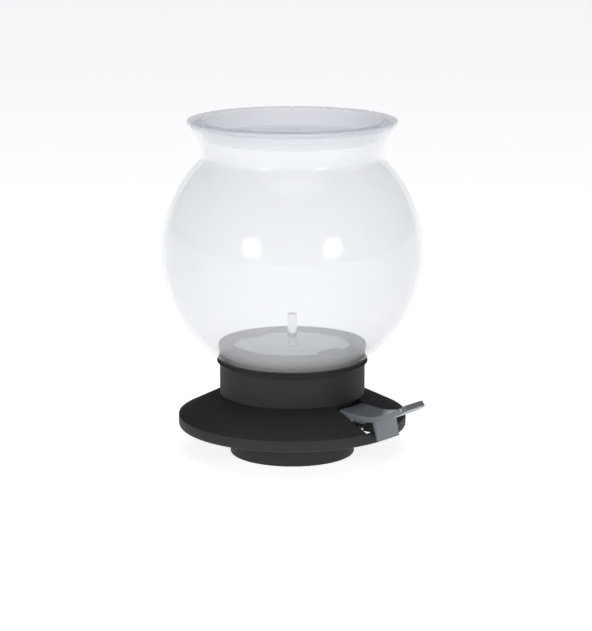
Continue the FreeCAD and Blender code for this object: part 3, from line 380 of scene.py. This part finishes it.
def charcoal_plastic():
    shade = Shade("dark_plastic")
    tone = tuple(settings().colours.charcoal)
    grain = shade.noise(3600.0, 2.0, 0.6)
    cloud = shade.noise(90.0, 3.0)
    return shade.set(
        Base_Color=shade.mixed(shade.grade(cloud, 0.0, 1.0), tone, scaled(tone, 1.35)),
        Roughness=shade.grade(shade.noise(420.0, 3.0), 0.42, 0.52), IOR=1.5, Specular_IOR_Level=0.3,
        Normal=shade.bump(grain, 0.00003, 0.5))


def grey_plastic():
    shade = Shade("grey_plastic")
    tone = tuple(settings().colours.grey)
    grain = shade.noise(2600.0, 2.0, 0.5)
    cloud = shade.noise(70.0, 2.0)
    return shade.set(
        Base_Color=shade.mixed(shade.grade(cloud, 0.0, 1.0), tone, scaled(tone, 1.1)),
        Roughness=shade.grade(shade.noise(260.0, 4.0, 0.65), 0.2, 0.28), IOR=1.54,
        Coat_Weight=0.25, Coat_Roughness=0.08,
        Normal=shade.bump(grain, 0.00001, 0.3))


def silicone():
    shade = Shade("black_silicone")
    tone = tuple(settings().colours.silicone)
    grain = shade.noise(4200.0, 3.0, 0.6)
    return shade.set(
        Base_Color=shade.mixed(shade.grade(shade.noise(120.0), 0.0, 1.0), tone, scaled(tone, 1.8)),
        Roughness=shade.grade(grain, 0.5, 0.64), IOR=1.43,
        Normal=shade.bump(grain, 0.00002, 0.4))


def steel(name, stretch, low, high, depth, share=1.0):
    """Stainless steel with fine tool lines across the stretched direction."""
    shade = Shade(name)
    tone = scaled(tuple(settings().colours.steel), share)
    lines = shade.noise(900.0, 3.0, 0.65, stretch)
    cloud = shade.noise(140.0, 2.0)
    return shade.set(
        Base_Color=shade.mixed(shade.grade(cloud, 0.0, 1.0), scaled(tone, 0.88), tone),
        Metallic=1.0, Roughness=shade.grade(lines, low, high),
        Normal=shade.bump(lines, depth, 0.5))


FINISHES = {
    "clear_glass": blown_glass,
    "clear_plastic": clear_plastic,
    "black_plastic": black_plastic,
    "dark_plastic": charcoal_plastic,
    "grey_plastic": grey_plastic,
    "black_silicone": silicone,
    "polished_steel": lambda: steel("polished_steel", (0.2, 0.2, 4.0), 0.08, 0.16, 0.000004, 0.8),
    "plain_steel": lambda: steel("plain_steel", (0.3, 0.3, 3.0), 0.25, 0.4, 0.00001),
    "woven_steel": lambda: steel("woven_steel", (1.0, 1.0, 1.0), 0.18, 0.3, 0.000005),
}


def finish_of(slot):
    """The material of a slot, made once."""
    return bpy.data.materials.get(slot) or FINISHES[slot]()


# ---------------------------------------------------------------- outlines and meshes

def arc(centre, radius, start, end, steps):
    """Points on an arc, from one angle in degrees to another."""
    turns = [math.radians(start + (end - start) * step / steps) for step in range(steps + 1)]
    return [Vector((centre[0] + radius * math.cos(turn), centre[1] + radius * math.sin(turn)))
            for turn in turns]


def rounded(corners, steps=4):
    """An outline whose corners (across, up, round) are drawn as small arcs."""
    points = []
    places = [Vector(corner[:2]) for corner in corners]
    for index, corner in enumerate(corners):
        here = places[index]
        size = corner[2] if len(corner) > 2 else 0.0
        back = places[index - 1] - here
        ahead = places[(index + 1) % len(places)] - here
        if not size:
            points.append(here)
            continue
        opening = back.angle(ahead)
        reach = min(size / math.tan(opening / 2), back.length * 0.49, ahead.length * 0.49)
        size = reach * math.tan(opening / 2)
        start = here + back.normalized() * reach
        end = here + ahead.normalized() * reach
        centre = here + (back.normalized() + ahead.normalized()).normalized() * math.hypot(reach, size)
        for step in range(steps + 1):
            spoke = (start - centre).normalized().slerp((end - centre).normalized(), step / steps)
            points.append(centre + spoke * size)
    return points


def new_piece(name, mesh_maker, slot, body, *nodes):
    """A mesh object with its finish, riding on a body and standing for CAD nodes."""
    work = bmesh.new()
    mesh_maker(work)
    bmesh.ops.recalc_face_normals(work, faces=work.faces)
    mesh = bpy.data.meshes.new(name)
    work.to_mesh(mesh)
    work.free()
    piece = bpy.data.objects.new(name, mesh)
    bpy.context.scene.collection.objects.link(piece)
    return dress(piece, slot, body, *nodes)


def dress(piece, slot, body, *nodes):
    mesh = piece.data
    mesh.shade_smooth()
    mesh.set_sharp_from_angle(angle=SHARP)
    mesh.materials.clear()
    mesh.materials.append(finish_of(slot))
    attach(piece, body)
    if nodes:
        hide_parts(*nodes)
    return piece


def spin(work, outline):
    """Turns a closed outline of (radius, height) points about the Z axis."""
    count = settings().segments
    rings = []
    for side in range(count):
        turn = math.tau * side / count
        rings.append([work.verts.new((point[0] * math.cos(turn), point[0] * math.sin(turn), point[1]))
                      for point in outline])
    for side in range(count):
        first, second = rings[side], rings[(side + 1) % count]
        for index in range(len(outline)):
            following = (index + 1) % len(outline)
            corners = (first[index], second[index], second[following], first[following])
            work.faces.new(corners)
    bmesh.ops.remove_doubles(work, verts=work.verts, dist=1e-7)
    bmesh.ops.dissolve_degenerate(work, edges=work.edges, dist=1e-7)


def turned(name, outline, slot, body, *nodes):
    return new_piece(name, lambda work: spin(work, outline), slot, body, *nodes)


def prism(work, outline, low, high, axis="Z"):
    """Draws a flat outline out along the Z or Y axis, between two levels."""
    def spot(point, level):
        return (point[0], level, point[1]) if axis == "Y" else (point[0], point[1], level)

    ends = [[work.verts.new(spot(point, level)) for point in outline] for level in (low, high)]
    for index in range(len(outline)):
        following = (index + 1) % len(outline)
        work.faces.new((ends[0][index], ends[0][following], ends[1][following], ends[1][index]))
    work.faces.new(ends[0][::-1])
    work.faces.new(ends[1])


def circle(across, up, radius, count=32):
    return [(across + radius * math.cos(math.tau * step / count),
             up + radius * math.sin(math.tau * step / count)) for step in range(count)]


def block(x, y, z):
    """A mesh maker for a box given by its three spans."""
    outline = [(x[0], y[0]), (x[1], y[0]), (x[1], y[1]), (x[0], y[1])]
    return lambda work: prism(work, outline, z[0], z[1])


def combine(piece, operation, *makers):
    """Joins shapes to a piece, or cuts them out of it."""
    for maker in makers:
        work = bmesh.new()
        maker(work)
        bmesh.ops.recalc_face_normals(work, faces=work.faces)
        tool_mesh = bpy.data.meshes.new("tool")
        work.to_mesh(tool_mesh)
        work.free()
        tool = bpy.data.objects.new("tool", tool_mesh)
        bpy.context.scene.collection.objects.link(tool)
        modifier = piece.modifiers.new("shape", "BOOLEAN")
        modifier.operation = operation
        modifier.object = tool
        modifier.solver = "EXACT"
        bake_modifiers(piece)
        bpy.data.objects.remove(tool)
        bpy.data.meshes.remove(tool_mesh)


def bake_modifiers(piece):
    """Keeps what the modifiers make as the piece's own mesh."""
    bpy.context.view_layer.update()
    graph = bpy.context.evaluated_depsgraph_get()
    mesh = bpy.data.meshes.new_from_object(piece.evaluated_get(graph))
    old = piece.data
    piece.modifiers.clear()
    piece.data = mesh
    mesh.name = old.name
    bpy.data.meshes.remove(old)
    mesh.shade_smooth()
    mesh.set_sharp_from_angle(angle=SHARP)


def cad_node(node, slot):
    """A CAD node keeps its shape and gets the finish of its slot."""
    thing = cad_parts[node]
    thing.data.materials.clear()
    thing.data.materials.append(finish_of(slot))


# ---------------------------------------------------------------- shared places

def globe_arc():
    return radius_of("glass_globe") - settings().glass.offset


def globe_height():
    """Height of the centre of the globe's arc, from the lip that carries the glass."""
    glass, foot = settings().glass, settings().foot
    reach = radius_of("base_body") - foot.lip_land - glass.offset
    return top_of("base_body") + math.sqrt((globe_arc() + glass.seat) ** 2 - reach ** 2)


def below_globe(radius, reach):
    """Height of the lower half of an arc about the globe's centre."""
    return globe_height() - math.sqrt(radius ** 2 - (reach - settings().glass.offset) ** 2)


def bearing(centre, point):
    return math.degrees(math.atan2(point[1] - centre[1], point[0] - centre[0]))


def cup(radius, inside, outside, steps):
    """Points on the lower half of an arc about the globe's centre, from one reach to another."""
    centre = (settings().glass.offset, globe_height())
    first = bearing(centre, (inside, below_globe(radius, inside)))
    last = bearing(centre, (outside, below_globe(radius, outside)))
    return arc(centre, radius, first, last, steps)


# ---------------------------------------------------------------- pieces

class DRIPPER_OT_glass_globe(bpy.types.Operator):
    """Blow the glass globe with its flared mouth"""
    bl_idname = "dripper.glass_globe"
    bl_label = "Glass globe"

    def execute(self, context):
        size = settings().glass
        outer = globe_arc()
        inner = outer - size.wall
        centre = Vector((size.offset, globe_height()))
        neck_reach = size.neck + size.neck_bend
        rise = math.sqrt((outer + size.neck_bend) ** 2 - (neck_reach - size.offset) ** 2)
        neck = Vector((neck_reach, centre.y + rise))
        flare = Vector((size.neck + size.flare_bend, neck.y))
        port_low = bearing(centre, (size.port, below_globe(outer, size.port)))
        port_high = bearing(centre, (size.port, below_globe(inner, size.port)))
        shoulder = bearing(centre, neck)
        mouth = 180 - math.degrees(math.asin(size.flare_rise / size.flare_bend))
        half = size.wall / 2
        lip = flare + Vector((math.cos(math.radians(mouth)), math.sin(math.radians(mouth)))) * (
            size.flare_bend + half)
        outline = arc(centre, outer, port_low, shoulder, 72)[:-1]
        outline += arc(neck, size.neck_bend, 180 + shoulder, 180, 8)[:-1]
        outline += arc(flare, size.flare_bend, 180, mouth, 16)[:-1]
        outline += arc(lip, half, mouth - 180, mouth, 8)[:-1]
        outline += arc(flare, size.flare_bend + size.wall, mouth, 180, 16)[:-1]
        outline += arc(neck, size.neck_bend + size.wall, 180, 180 + shoulder, 8)[:-1]
        outline += arc(centre, inner, shoulder, port_high, 72)
        low, high = outline[0], outline[-1]
        middle = (low + high) / 2
        outline += arc(middle, (high - low).length / 2, bearing(middle, high),
                       bearing(middle, low) + 360, 8)[1:-1]
        turned("globe", outline, "clear_glass", "root", "glass_globe")
        return {"FINISHED"}


class DRIPPER_OT_lid(bpy.types.Operator):
    """Mould the clear drop-in lid"""
    bl_idname = "dripper.lid"
    bl_label = "Lid"

    def execute(self, context):
        size = settings().lid
        bottom = foot_of("lid")
        top = top_of("lid")
        edge = 0.5 * MM
        outline = rounded([
            (0, bottom),
            (size.recess + size.wall - size.taper, bottom, 1.4 * MM),
            (size.recess + size.wall, top - size.wall, edge),
            (size.brim, top - size.wall, edge),
            (size.brim, top, edge),
            (size.recess, top, edge),
            (size.recess - size.taper, bottom + size.wall, 0.8 * MM),
            (0, bottom + size.wall),
        ], 5)
        piece = turned("lid_shell", outline, "clear_plastic", "lid", "lid")
        combine(piece, "DIFFERENCE", self.mark(size, top))
        return {"FINISHED"}

    @staticmethod
    def mark(size, top):
        def make(work):
            block((size.recess - MM, size.brim + MM), (-size.mark / 2, size.mark / 2),
                  (top - size.wall * 0.2, top + MM))(work)
            bmesh.ops.rotate(work, verts=work.verts, cent=(0, 0, 0),
                             matrix=Matrix.Rotation(size.mark_angle, 3, "Z"))
        return make


class DRIPPER_OT_clamp(bpy.types.Operator):
    """Mould the ring that clamps the glass, and its silicone"""
    bl_idname = "dripper.clamp"
    bl_label = "Clamp ring"

    def execute(self, context):
        size, glass = settings().clamp, settings().glass
        outer = size.outer
        bottom = foot_of("clamp_ring")
        inner_globe = globe_arc() - glass.wall
        seat = inner_globe - size.float - size.gasket
        top = below_globe(inner_globe, outer) + size.side
        inner = size.bore - size.neck_wall
        shelf = top - size.shelf
        round_edge = 0.5 * MM
        outline = rounded([
            (size.bore, top, round_edge),
            (size.bore, shelf, 0.2 * MM),
            (inner, shelf, 0.3 * MM),
            (inner, bottom, 0.3 * MM),
            (size.bore, bottom, 0.3 * MM),
            *cup(seat, size.bore, outer - 0.15 * MM, 10),
            (outer, below_globe(seat, outer) + 0.1 * MM),
            (outer, top, round_edge)])
        piece = turned("clamp_ring_moulding", outline, "dark_plastic", "clamp", "clamp_ring")
        combine(piece, "UNION", *[self.lug(size, bottom, step * 120.0) for step in range(3)])
        cad_node("clamp_ring_gasket", "black_silicone")
        return {"FINISHED"}

    @staticmethod
    def lug(size, bottom, middle):
        def make(work):
            half = math.degrees(size.lug_sweep)
            outline = arc((0, 0), size.bore + size.lug, middle - half, middle + half, 12)
            outline += arc((0, 0), size.bore - size.lug_bite, middle + half, middle - half, 12)
            prism(work, outline, bottom + 0.02 * MM, bottom + size.lug_height)
        return make


class DRIPPER_OT_filter(bpy.types.Operator):
    """Weave the steel filter and mould its frame with the finger tabs"""
    bl_idname = "dripper.filter"
    bl_label = "Filter"

    def execute(self, context):
        size = settings().clamp
        self.frame_piece(size)
        self.woven(size)
        cad_node("filter_eyelet", "plain_steel")
        return {"FINISHED"}

    def frame_piece(self, size):
        low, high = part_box("filter_frame")
        outer = size.bore - size.hoop_play
        inner = outer - size.hoop_wall
        foot = size.bore - size.neck_wall + size.hoop_play
        under_mesh = foot_of("filter_mesh") - BLEND
        hoop_top = high.z - size.hoop_drop
        outline = rounded([
            (foot, low.z, 0.1 * MM),
            (outer, low.z, 0.1 * MM),
            (outer, hoop_top, 0.15 * MM),
            (inner, hoop_top, 0.15 * MM),
            (inner, under_mesh),
            (foot, under_mesh, 0.1 * MM)], 3)
        turned("filter_hoop", outline, "dark_plastic", "filter", "filter_frame")
        turns = [size.tab_angle + math.pi * side for side in range(2)]
        tabs = [new_piece("filter_tab_%d" % number, self.tab(size, outer, high.z, turn),
                          "dark_plastic", "filter") for number, turn in enumerate(turns, start=1)]
        for tab in tabs:
            soft_edges(tab, size.tab_round)

    @staticmethod
    def tab(size, outer, top, turn):
        def make(work):
            half = size.tab_width / 2
            reach = math.degrees(math.asin(half / outer))
            tip = outer - size.tab_reach
            outline = arc((0, 0), outer - BLEND, -reach, reach, 10)
            outline += [Vector((tip, half)), Vector((tip, -half))]
            prism(work, outline, top - size.tab_height, top)
            bmesh.ops.rotate(work, verts=work.verts, cent=(0, 0, 0),
                             matrix=Matrix.Rotation(turn, 3, "Z"))
        return make

    def woven(self, size):
        low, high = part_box("filter_mesh")
        outer = high.y - 0.02 * MM
        middle = (low.z + high.z) / 2
        lift = size.wire * 0.17
        half_thick = size.wire * 0.2

        def make(work):
            count = int(outer / size.pitch)
            for direction in range(2):
                for number in range(-count, count + 1):
                    side = number * size.pitch
                    reach = math.sqrt(max(outer ** 2 - side ** 2, 0.0))
                    steps = int(reach / size.pitch)
                    run = [(step * size.pitch, step) for step in range(-steps, steps + 1)]
                    run = [(-reach, -steps - 1), *run, (reach, steps + 1)]
                    self.wire(work, run, side, number, direction, middle, lift, half_thick, size)
            bmesh.ops.rotate(work, verts=work.verts, cent=(0, 0, 0),
                             matrix=Matrix.Rotation(size.mesh_turn, 3, "Z"))
        new_piece("woven_mesh", make, "woven_steel", "filter", "filter_mesh")
        hem_low = middle - half_thick * 1.8
        hem_high = middle + half_thick * 1.8
        inside = outer - size.hem
        hem = rounded([
            (inside, hem_low, BLEND),
            (outer, hem_low),
            (outer, hem_high),
            (inside, hem_high, BLEND)], 2)
        turned("mesh_hem", hem, "woven_steel", "filter")

    @staticmethod
    def wire(work, run, side, number, direction, middle, lift, half_thick, size):
        half = size.wire / 2
        previous = None
        for along, step in run:
            if math.hypot(along, side) < size.hole:
                previous = None
                continue
            sign = 1 if (step + number + direction) % 2 else -1
            level = middle + sign * lift
            corners = [(side - half, level), (side, level + half_thick),
                       (side + half, level), (side, level - half_thick)]
            ring = []
            for across, height in corners:
                spot = (along, across, height) if direction else (across, along, height)
                ring.append(work.verts.new(spot))
            if previous:
                for index in range(4):
                    following = (index + 1) % 4
                    work.faces.new((previous[index], previous[following], ring[following], ring[index]))
            previous = ring


def soft_edges(piece, width, limit=30):
    """Rounds a piece's edges with real faces."""
    modifier = piece.modifiers.new("edges", "BEVEL")
    modifier.width = width
    modifier.segments = 3
    modifier.limit_method = "ANGLE"
    modifier.angle_limit = math.radians(limit)
    modifier.use_clamp_overlap = True
    bake_modifiers(piece)


class DRIPPER_OT_valve(bpy.types.Operator):
    """Turn the valve pin and finish the valve below the mesh"""
    bl_idname = "dripper.valve"
    bl_label = "Valve"

    def execute(self, context):
        low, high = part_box("valve_pin")
        radius = high.y
        groove_top = foot_of("valve_washer") - 0.05 * MM
        groove_low = groove_top - 0.65 * MM
        bite = radius - 0.4 * MM
        outline = rounded([
            *arc((0, low.z + radius), radius, -90, 0, 10),
            (radius, groove_low), (bite, groove_low), (bite, groove_top), (radius, groove_top),
            (radius, high.z - 0.4 * MM, 0.2 * MM), (radius - 0.4 * MM, high.z, 0.2 * MM), (0, high.z)])
        turned("pin_rod", outline, "polished_steel", "valve", "valve_pin")
        cad_node("valve_seal", "black_silicone")
        for node in ("valve_weight", "valve_washer", "valve_clip"):
            cad_node(node, "plain_steel")
        return {"FINISHED"}


class DRIPPER_OT_foot(bpy.types.Operator):
    """Mould the base body, the skirt, the foot and the parts inside them"""
    bl_idname = "dripper.foot"
    bl_label = "Foot"

    def execute(self, context):
        size = settings().foot
        self.skirt(size)
        self.spigot(size)
        self.base(size)
        cad_node("drip_nozzle", "black_plastic")
        for node in ("glass_seat_gasket", "neck_gasket", "nozzle_oring"):
            cad_node(node, "black_silicone")
        for node in ("base_screws", "pivot_pin", "pivot_retainer"):
            cad_node(node, "plain_steel")
        return {"FINISHED"}

    @staticmethod
    def skirt(size):
        low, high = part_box("skirt_shell")
        rim = -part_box("skirt_shell")[0].x
        corner = low.z + size.rim_height
        rim_inner = rim - size.skirt_wall
        slope = (high.z - corner) / (rim - size.collar)
        under = size.skirt_wall * 1.15
        hub = size.body + 0.2 * MM
        hub_bottom = top_of("foot_ring") + 0.05 * MM
        outline = rounded([
            (hub, hub_bottom),
            (size.collar, hub_bottom),
            (size.collar, high.z - under, 0.4 * MM),
            (rim_inner, corner + slope * size.skirt_wall - under, 0.8 * MM),
            (rim_inner, low.z, 0.35 * MM),
            (rim, low.z, 1.5 * MM),
            (rim, corner, 0.4 * MM),
            (size.collar, high.z),
            (hub, high.z)], 5)
        piece = turned("skirt_cone", outline, "black_plastic", "root", "skirt_shell")
        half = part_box("lever")[1].y + size.notch_play
        outer = half + size.rib
        start = size.collar - size.skirt_wall / 2
        bite = under * 0.75
        rib_low = low.z + 0.03 * MM
        rib_end = rim_inner - 0.03 * MM
        ribs = [(start, hub_bottom), (size.collar + MM, hub_bottom), (size.collar + MM, rib_low),
                (rib_end, rib_low), (rib_end, corner - under + bite), (start, high.z - bite)]
        sill = low.z + size.sill
        inside = size.body - 3 * MM
        edge = math.sqrt(rim_inner ** 2 - half ** 2)
        notch = [(inside, low.z - MM), (edge, low.z - MM), (edge, sill), (rim + MM, sill),
                 (rim + MM, high.z + MM), (inside, high.z + MM)]
        combine(piece, "UNION", lambda work: prism(work, ribs, -outer, outer, "Y"))
        combine(piece, "DIFFERENCE", lambda work: prism(work, notch, -half, half, "Y"))

    @staticmethod
    def spigot(size):
        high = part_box("foot_ring")[1]
        inner = size.spigot - size.wall
        outline = rounded([
            (inner, 0, 0.7 * MM),
            (size.spigot, 0, 0.6 * MM),
            (size.spigot, size.spigot_height, 0.2 * MM),
            (high.x, size.spigot_height, 0.3 * MM),
            (high.x, high.z, 0.3 * MM),
            (size.plate_hole, high.z, 0.3 * MM),
            (size.plate_hole, size.spigot_height, 0.3 * MM),
            (inner, size.spigot_height, 0.5 * MM)])
        piece = turned("foot_spigot", outline, "black_plastic", "root", "foot_ring")
        holes = [lambda work, spot=spot: prism(work, circle(*spot, size.screw_hole),
                                               size.spigot_height - MM, high.z + MM)
                 for spot in screw_places(size)]
        combine(piece, "DIFFERENCE", *holes)

    @staticmethod
    def base(size):
        glass = settings().glass
        top = top_of("base_body")
        lip = radius_of("base_body")
        bottom = size.body_bottom
        tube_bottom = foot_of("base_body")
        collar_bottom = top_of("skirt_shell") + 0.1 * MM
        lip_out = lip - size.collar
        lip_start = top - size.lip_land - size.lip_rise
        lip_bend = (lip_out ** 2 + size.lip_rise ** 2) / (2 * lip_out)
        sweep = math.degrees(math.asin(size.lip_rise / lip_bend))
        dish = globe_arc() + glass.seat
        inner = settings().clamp.bore - settings().clamp.neck_wall
        tube = size.tube + size.tube_wall
        throat = size.seat_height - size.wall + 0.4 * MM
        under = size.ledge - size.wall
        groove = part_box("nozzle_oring")
        groove_low = groove[0].z - 0.2 * MM
        groove_high = groove[1].z + 0.2 * MM
        groove_floor = tube - size.groove
        outline = rounded([
            (size.body, bottom, 0.3 * MM),
            (size.body, collar_bottom),
            (size.collar, collar_bottom, 0.4 * MM),
            *arc((size.collar + lip_bend, lip_start), lip_bend, 180, 180 - sweep, 8),
            (lip, top, 0.2 * MM),
            *cup(dish, lip - size.lip_land, size.bore, 12),
            (size.bore, size.ledge, 0.3 * MM),
            (inner, size.ledge, 0.3 * MM),
            (size.seat, size.seat_height, 0.5 * MM),
            (size.throat, size.seat_height, 0.4 * MM),
            (size.throat, throat),
            (size.tube, throat),
            (size.tube, tube_bottom, 0.2 * MM),
            (tube, tube_bottom, 0.2 * MM),
            (tube, groove_low),
            (groove_floor, groove_low),
            (groove_floor, groove_high),
            (tube, groove_high),
            (tube, size.seat_height - size.wall, 0.5 * MM),
            (inner, under),
            (size.body - size.wall, under),
            (size.body - size.wall, bottom)])
        piece = turned("base_moulding", outline, "black_plastic", "root", "base_body")
        DRIPPER_OT_foot.inside(piece, size, bottom, under, throat)

    @staticmethod
    def inside(piece, size, bottom, under, throat):
        """Adds ledges, bosses and brackets, and cuts the lever's ways."""
        plate = top_of("foot_ring")
        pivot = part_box("pivot_retainer")
        pivot_x = (pivot[0].x + pivot[1].x) / 2
        pivot_z = (pivot[0].z + pivot[1].z) / 2
        half_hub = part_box("lever")[1].y + size.hub_play
        outer = half_hub + size.bracket
        bosses = [lambda work, spot=spot: prism(work, circle(*spot, size.boss), plate,
                                                under + size.wall / 4)
                  for spot in screw_places(size)]
        brackets = [block((pivot_x - size.bracket_half, pivot_x + size.bracket_half), span,
                          (plate + MM, under + size.wall / 5))
                    for span in ((-outer, -half_hub), (half_hub, outer))]
        combine(piece, "UNION", *bosses, *brackets)
        finger = foot_of("valve_pin") - 0.3 * MM
        slot = block((size.body - size.wall - MM, size.body + 1.2 * MM), (-half_hub, half_hub),
                     (bottom - MM, size.slot_top))
        window = block((size.tube - MM, size.tube + size.tube_wall + MM),
                       (-size.window_half, size.window_half), (finger - size.window_drop, throat))
        pivot_hole = circle(pivot_x, pivot_z, size.pivot_hole)
        holes = [lambda work, spot=spot: prism(work, circle(*spot, size.pilot), plate - MM,
                                               plate + size.pilot_depth)
                 for spot in screw_places(size)]
        combine(piece, "DIFFERENCE", slot, window,
                lambda work: prism(work, pivot_hole, -outer - MM, outer + MM, "Y"), *holes)
        ledge_low = foot_of("clamp_ring") + size.stop_lift
        ledges = [DRIPPER_OT_foot.ledge(size, ledge_low, step * 120.0) for step in range(3)]
        combine(piece, "UNION", *ledges)

    @staticmethod
    def ledge(size, low, middle):
        def make(work):
            half = math.degrees(size.stop_sweep)
            outline = arc((0, 0), size.bore + size.stop_out, middle - half, middle + half, 16)
            outline += arc((0, 0), size.bore - size.stop_in, middle + half, middle - half, 16)
            prism(work, outline, low, low + size.stop_height)
        return make


def screw_places(size):
    turns = [math.radians(60 + 120 * step) for step in range(3)]
    return [(size.screw_circle * math.cos(turn), size.screw_circle * math.sin(turn)) for turn in turns]


class DRIPPER_OT_lever(bpy.types.Operator):
    """Mould the thumb lever"""
    bl_idname = "dripper.lever"
    bl_label = "Lever"

    def execute(self, context):
        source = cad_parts["lever"]
        mesh = source.data.copy()
        work = bmesh.new()
        work.from_mesh(mesh)
        bmesh.ops.remove_doubles(work, verts=work.verts, dist=1e-6)
        bmesh.ops.dissolve_limit(work, angle_limit=math.radians(1.0), verts=work.verts, edges=work.edges)
        work.to_mesh(mesh)
        work.free()
        piece = bpy.data.objects.new("thumb_lever", mesh)
        bpy.context.scene.collection.objects.link(piece)
        dress(piece, "grey_plastic", "lever", "lever")
        soft_edges(piece, LEVER_ROUND, 25)
        return {"FINISHED"}


def flat_disc(name, radius, sides, material):
    """A flat disc of the stage."""
    work = bmesh.new()
    bmesh.ops.create_circle(work, cap_ends=True, radius=radius, segments=sides)
    mesh = bpy.data.meshes.new(name)
    work.to_mesh(mesh)
    work.free()
    mesh.materials.append(material)
    disc = bpy.data.objects.new(name, mesh)
    bpy.context.scene.collection.objects.link(disc)
    return disc


class DRIPPER_OT_stage(bpy.types.Operator):
    """Lay the pale table and set the studio lights and the camera"""
    bl_idname = "dripper.stage"
    bl_label = "Stage"

    def execute(self, context):
        size = settings().stage
        self.table(size)
        self.lights(size)
        self.camera(size)
        world = bpy.data.worlds.new("room")
        world.use_nodes = True
        world.node_tree.nodes["Background"].inputs["Color"].default_value = (*size.room, 1.0)
        context.scene.world = world
        context.scene.view_settings.view_transform = "Standard"
        return {"FINISHED"}

    @staticmethod
    def table(size):
        """A wide, level, pale floor that glows a little, like a light table."""
        shade = Shade("pale_table")
        tone = tuple(size.floor)
        grain = shade.grade(shade.noise(30.0, 3.0), 0.0, 1.0)
        shade.set(Base_Color=shade.mixed(grain, tone, scaled(tone, 1.01)), Roughness=0.9,
                  Emission_Color=(1.0, 1.0, 1.0, 1.0), Emission_Strength=size.glow)
        flat_disc("table", size.reach, 96, shade.material)

    @staticmethod
    def softbox(name, place, target, radius, strength, stretch=1.0):
        """A round light that is bright in the middle and fades to its edge."""
        shade = Shade(name)
        spot = shade.node("ShaderNodeTexCoord", output="Object")
        reach = shade.node("ShaderNodeVectorMath", {"operation": "LENGTH"}, {0: spot}, output="Value")
        glow = shade.node("ShaderNodeMapRange", {"interpolation_type": "SMOOTHSTEP"}, {
            "Value": reach, "From Min": 0.25, "From Max": 1.0, "To Min": strength, "To Max": 0.0})
        light = shade.node("ShaderNodeEmission", {}, {"Color": (1.0, 0.99, 0.97, 1.0), "Strength": glow})
        output = shade.tree.nodes["Material Output"]
        shade.tree.links.new(light.socket, output.inputs["Surface"])
        panel = flat_disc(name, 1.0, 48, shade.material)
        panel.location = place
        panel.scale = (radius * stretch, radius, radius)
        panel.rotation_mode = "QUATERNION"
        panel.rotation_quaternion = (target - place).to_track_quat("Z", "Y")

    @classmethod
    def lights(cls, size):
        target = Vector((0, 0, size.target))
        lift = size.softbox_lift
        for name, side in (("softbox_left", -1), ("softbox_right", 1)):
            turn = size.azimuth + side * size.softbox_turn
            way = Vector((math.sin(turn) * math.cos(lift), -math.cos(turn) * math.cos(lift), math.sin(lift)))
            cls.softbox(name, target + way * size.softbox_distance, target, size.softbox_radius, size.softbox)
        turn = size.azimuth
        way = Vector((math.sin(turn) * 0.28, -math.cos(turn) * 0.28, 0.96))
        cls.softbox("softbox_top", target + way * 1.4, target, 0.55, size.overhead, 1.5)

    @staticmethod
    def camera(size):
        data = bpy.data.cameras.new("camera")
        data.lens = size.lens
        data.sensor_width = 36.0
        data.sensor_fit = "AUTO"
        data.shift_x = size.shift
        data.clip_start = 0.01
        camera = bpy.data.objects.new("camera", data)
        bpy.context.scene.collection.objects.link(camera)
        camera.location = (size.distance * math.sin(size.azimuth),
                           -size.distance * math.cos(size.azimuth), size.height)
        camera.rotation_euler = (math.pi / 2 - size.pitch, 0.0, size.azimuth)
        bpy.context.scene.camera = camera


OPERATORS = (
    DRIPPER_OT_stage, DRIPPER_OT_glass_globe, DRIPPER_OT_lid, DRIPPER_OT_clamp, DRIPPER_OT_filter,
    DRIPPER_OT_valve, DRIPPER_OT_foot, DRIPPER_OT_lever,
)


class DRIPPER_PT_build(bpy.types.Panel):
    """Lists the dripper's pieces"""
    bl_idname = "DRIPPER_PT_build"
    bl_label = "Coffee dripper"
    bl_space_type = "VIEW_3D"
    bl_region_type = "UI"
    bl_category = "Dripper"

    def draw(self, context):
        for operator in OPERATORS:
            self.layout.operator(operator.bl_idname)
        for group in ("glass", "lid", "foot", "clamp", "colours", "stage"):
            values = getattr(context.scene.dripper, group)
            box = self.layout.box()
            box.label(text=group.capitalize())
            for name in values.__annotations__:
                box.prop(values, name)


CLASSES = (
    DripperGlassSizes, DripperLidSizes, DripperFootSizes, DripperClampSizes, DripperColours,
    DripperStageSizes, DripperSettings, *OPERATORS, DRIPPER_PT_build,
)


def register():
    for cls in CLASSES:
        bpy.utils.register_class(cls)
    bpy.types.Scene.dripper = PointerProperty(type=DripperSettings)


def unregister():
    del bpy.types.Scene.dripper
    for cls in reversed(CLASSES):
        bpy.utils.unregister_class(cls)


def main():
    register()
    for operator in OPERATORS:
        group, name = operator.bl_idname.split(".")
        getattr(getattr(bpy.ops, group), name)()


if __name__ == "__main__":
    main()
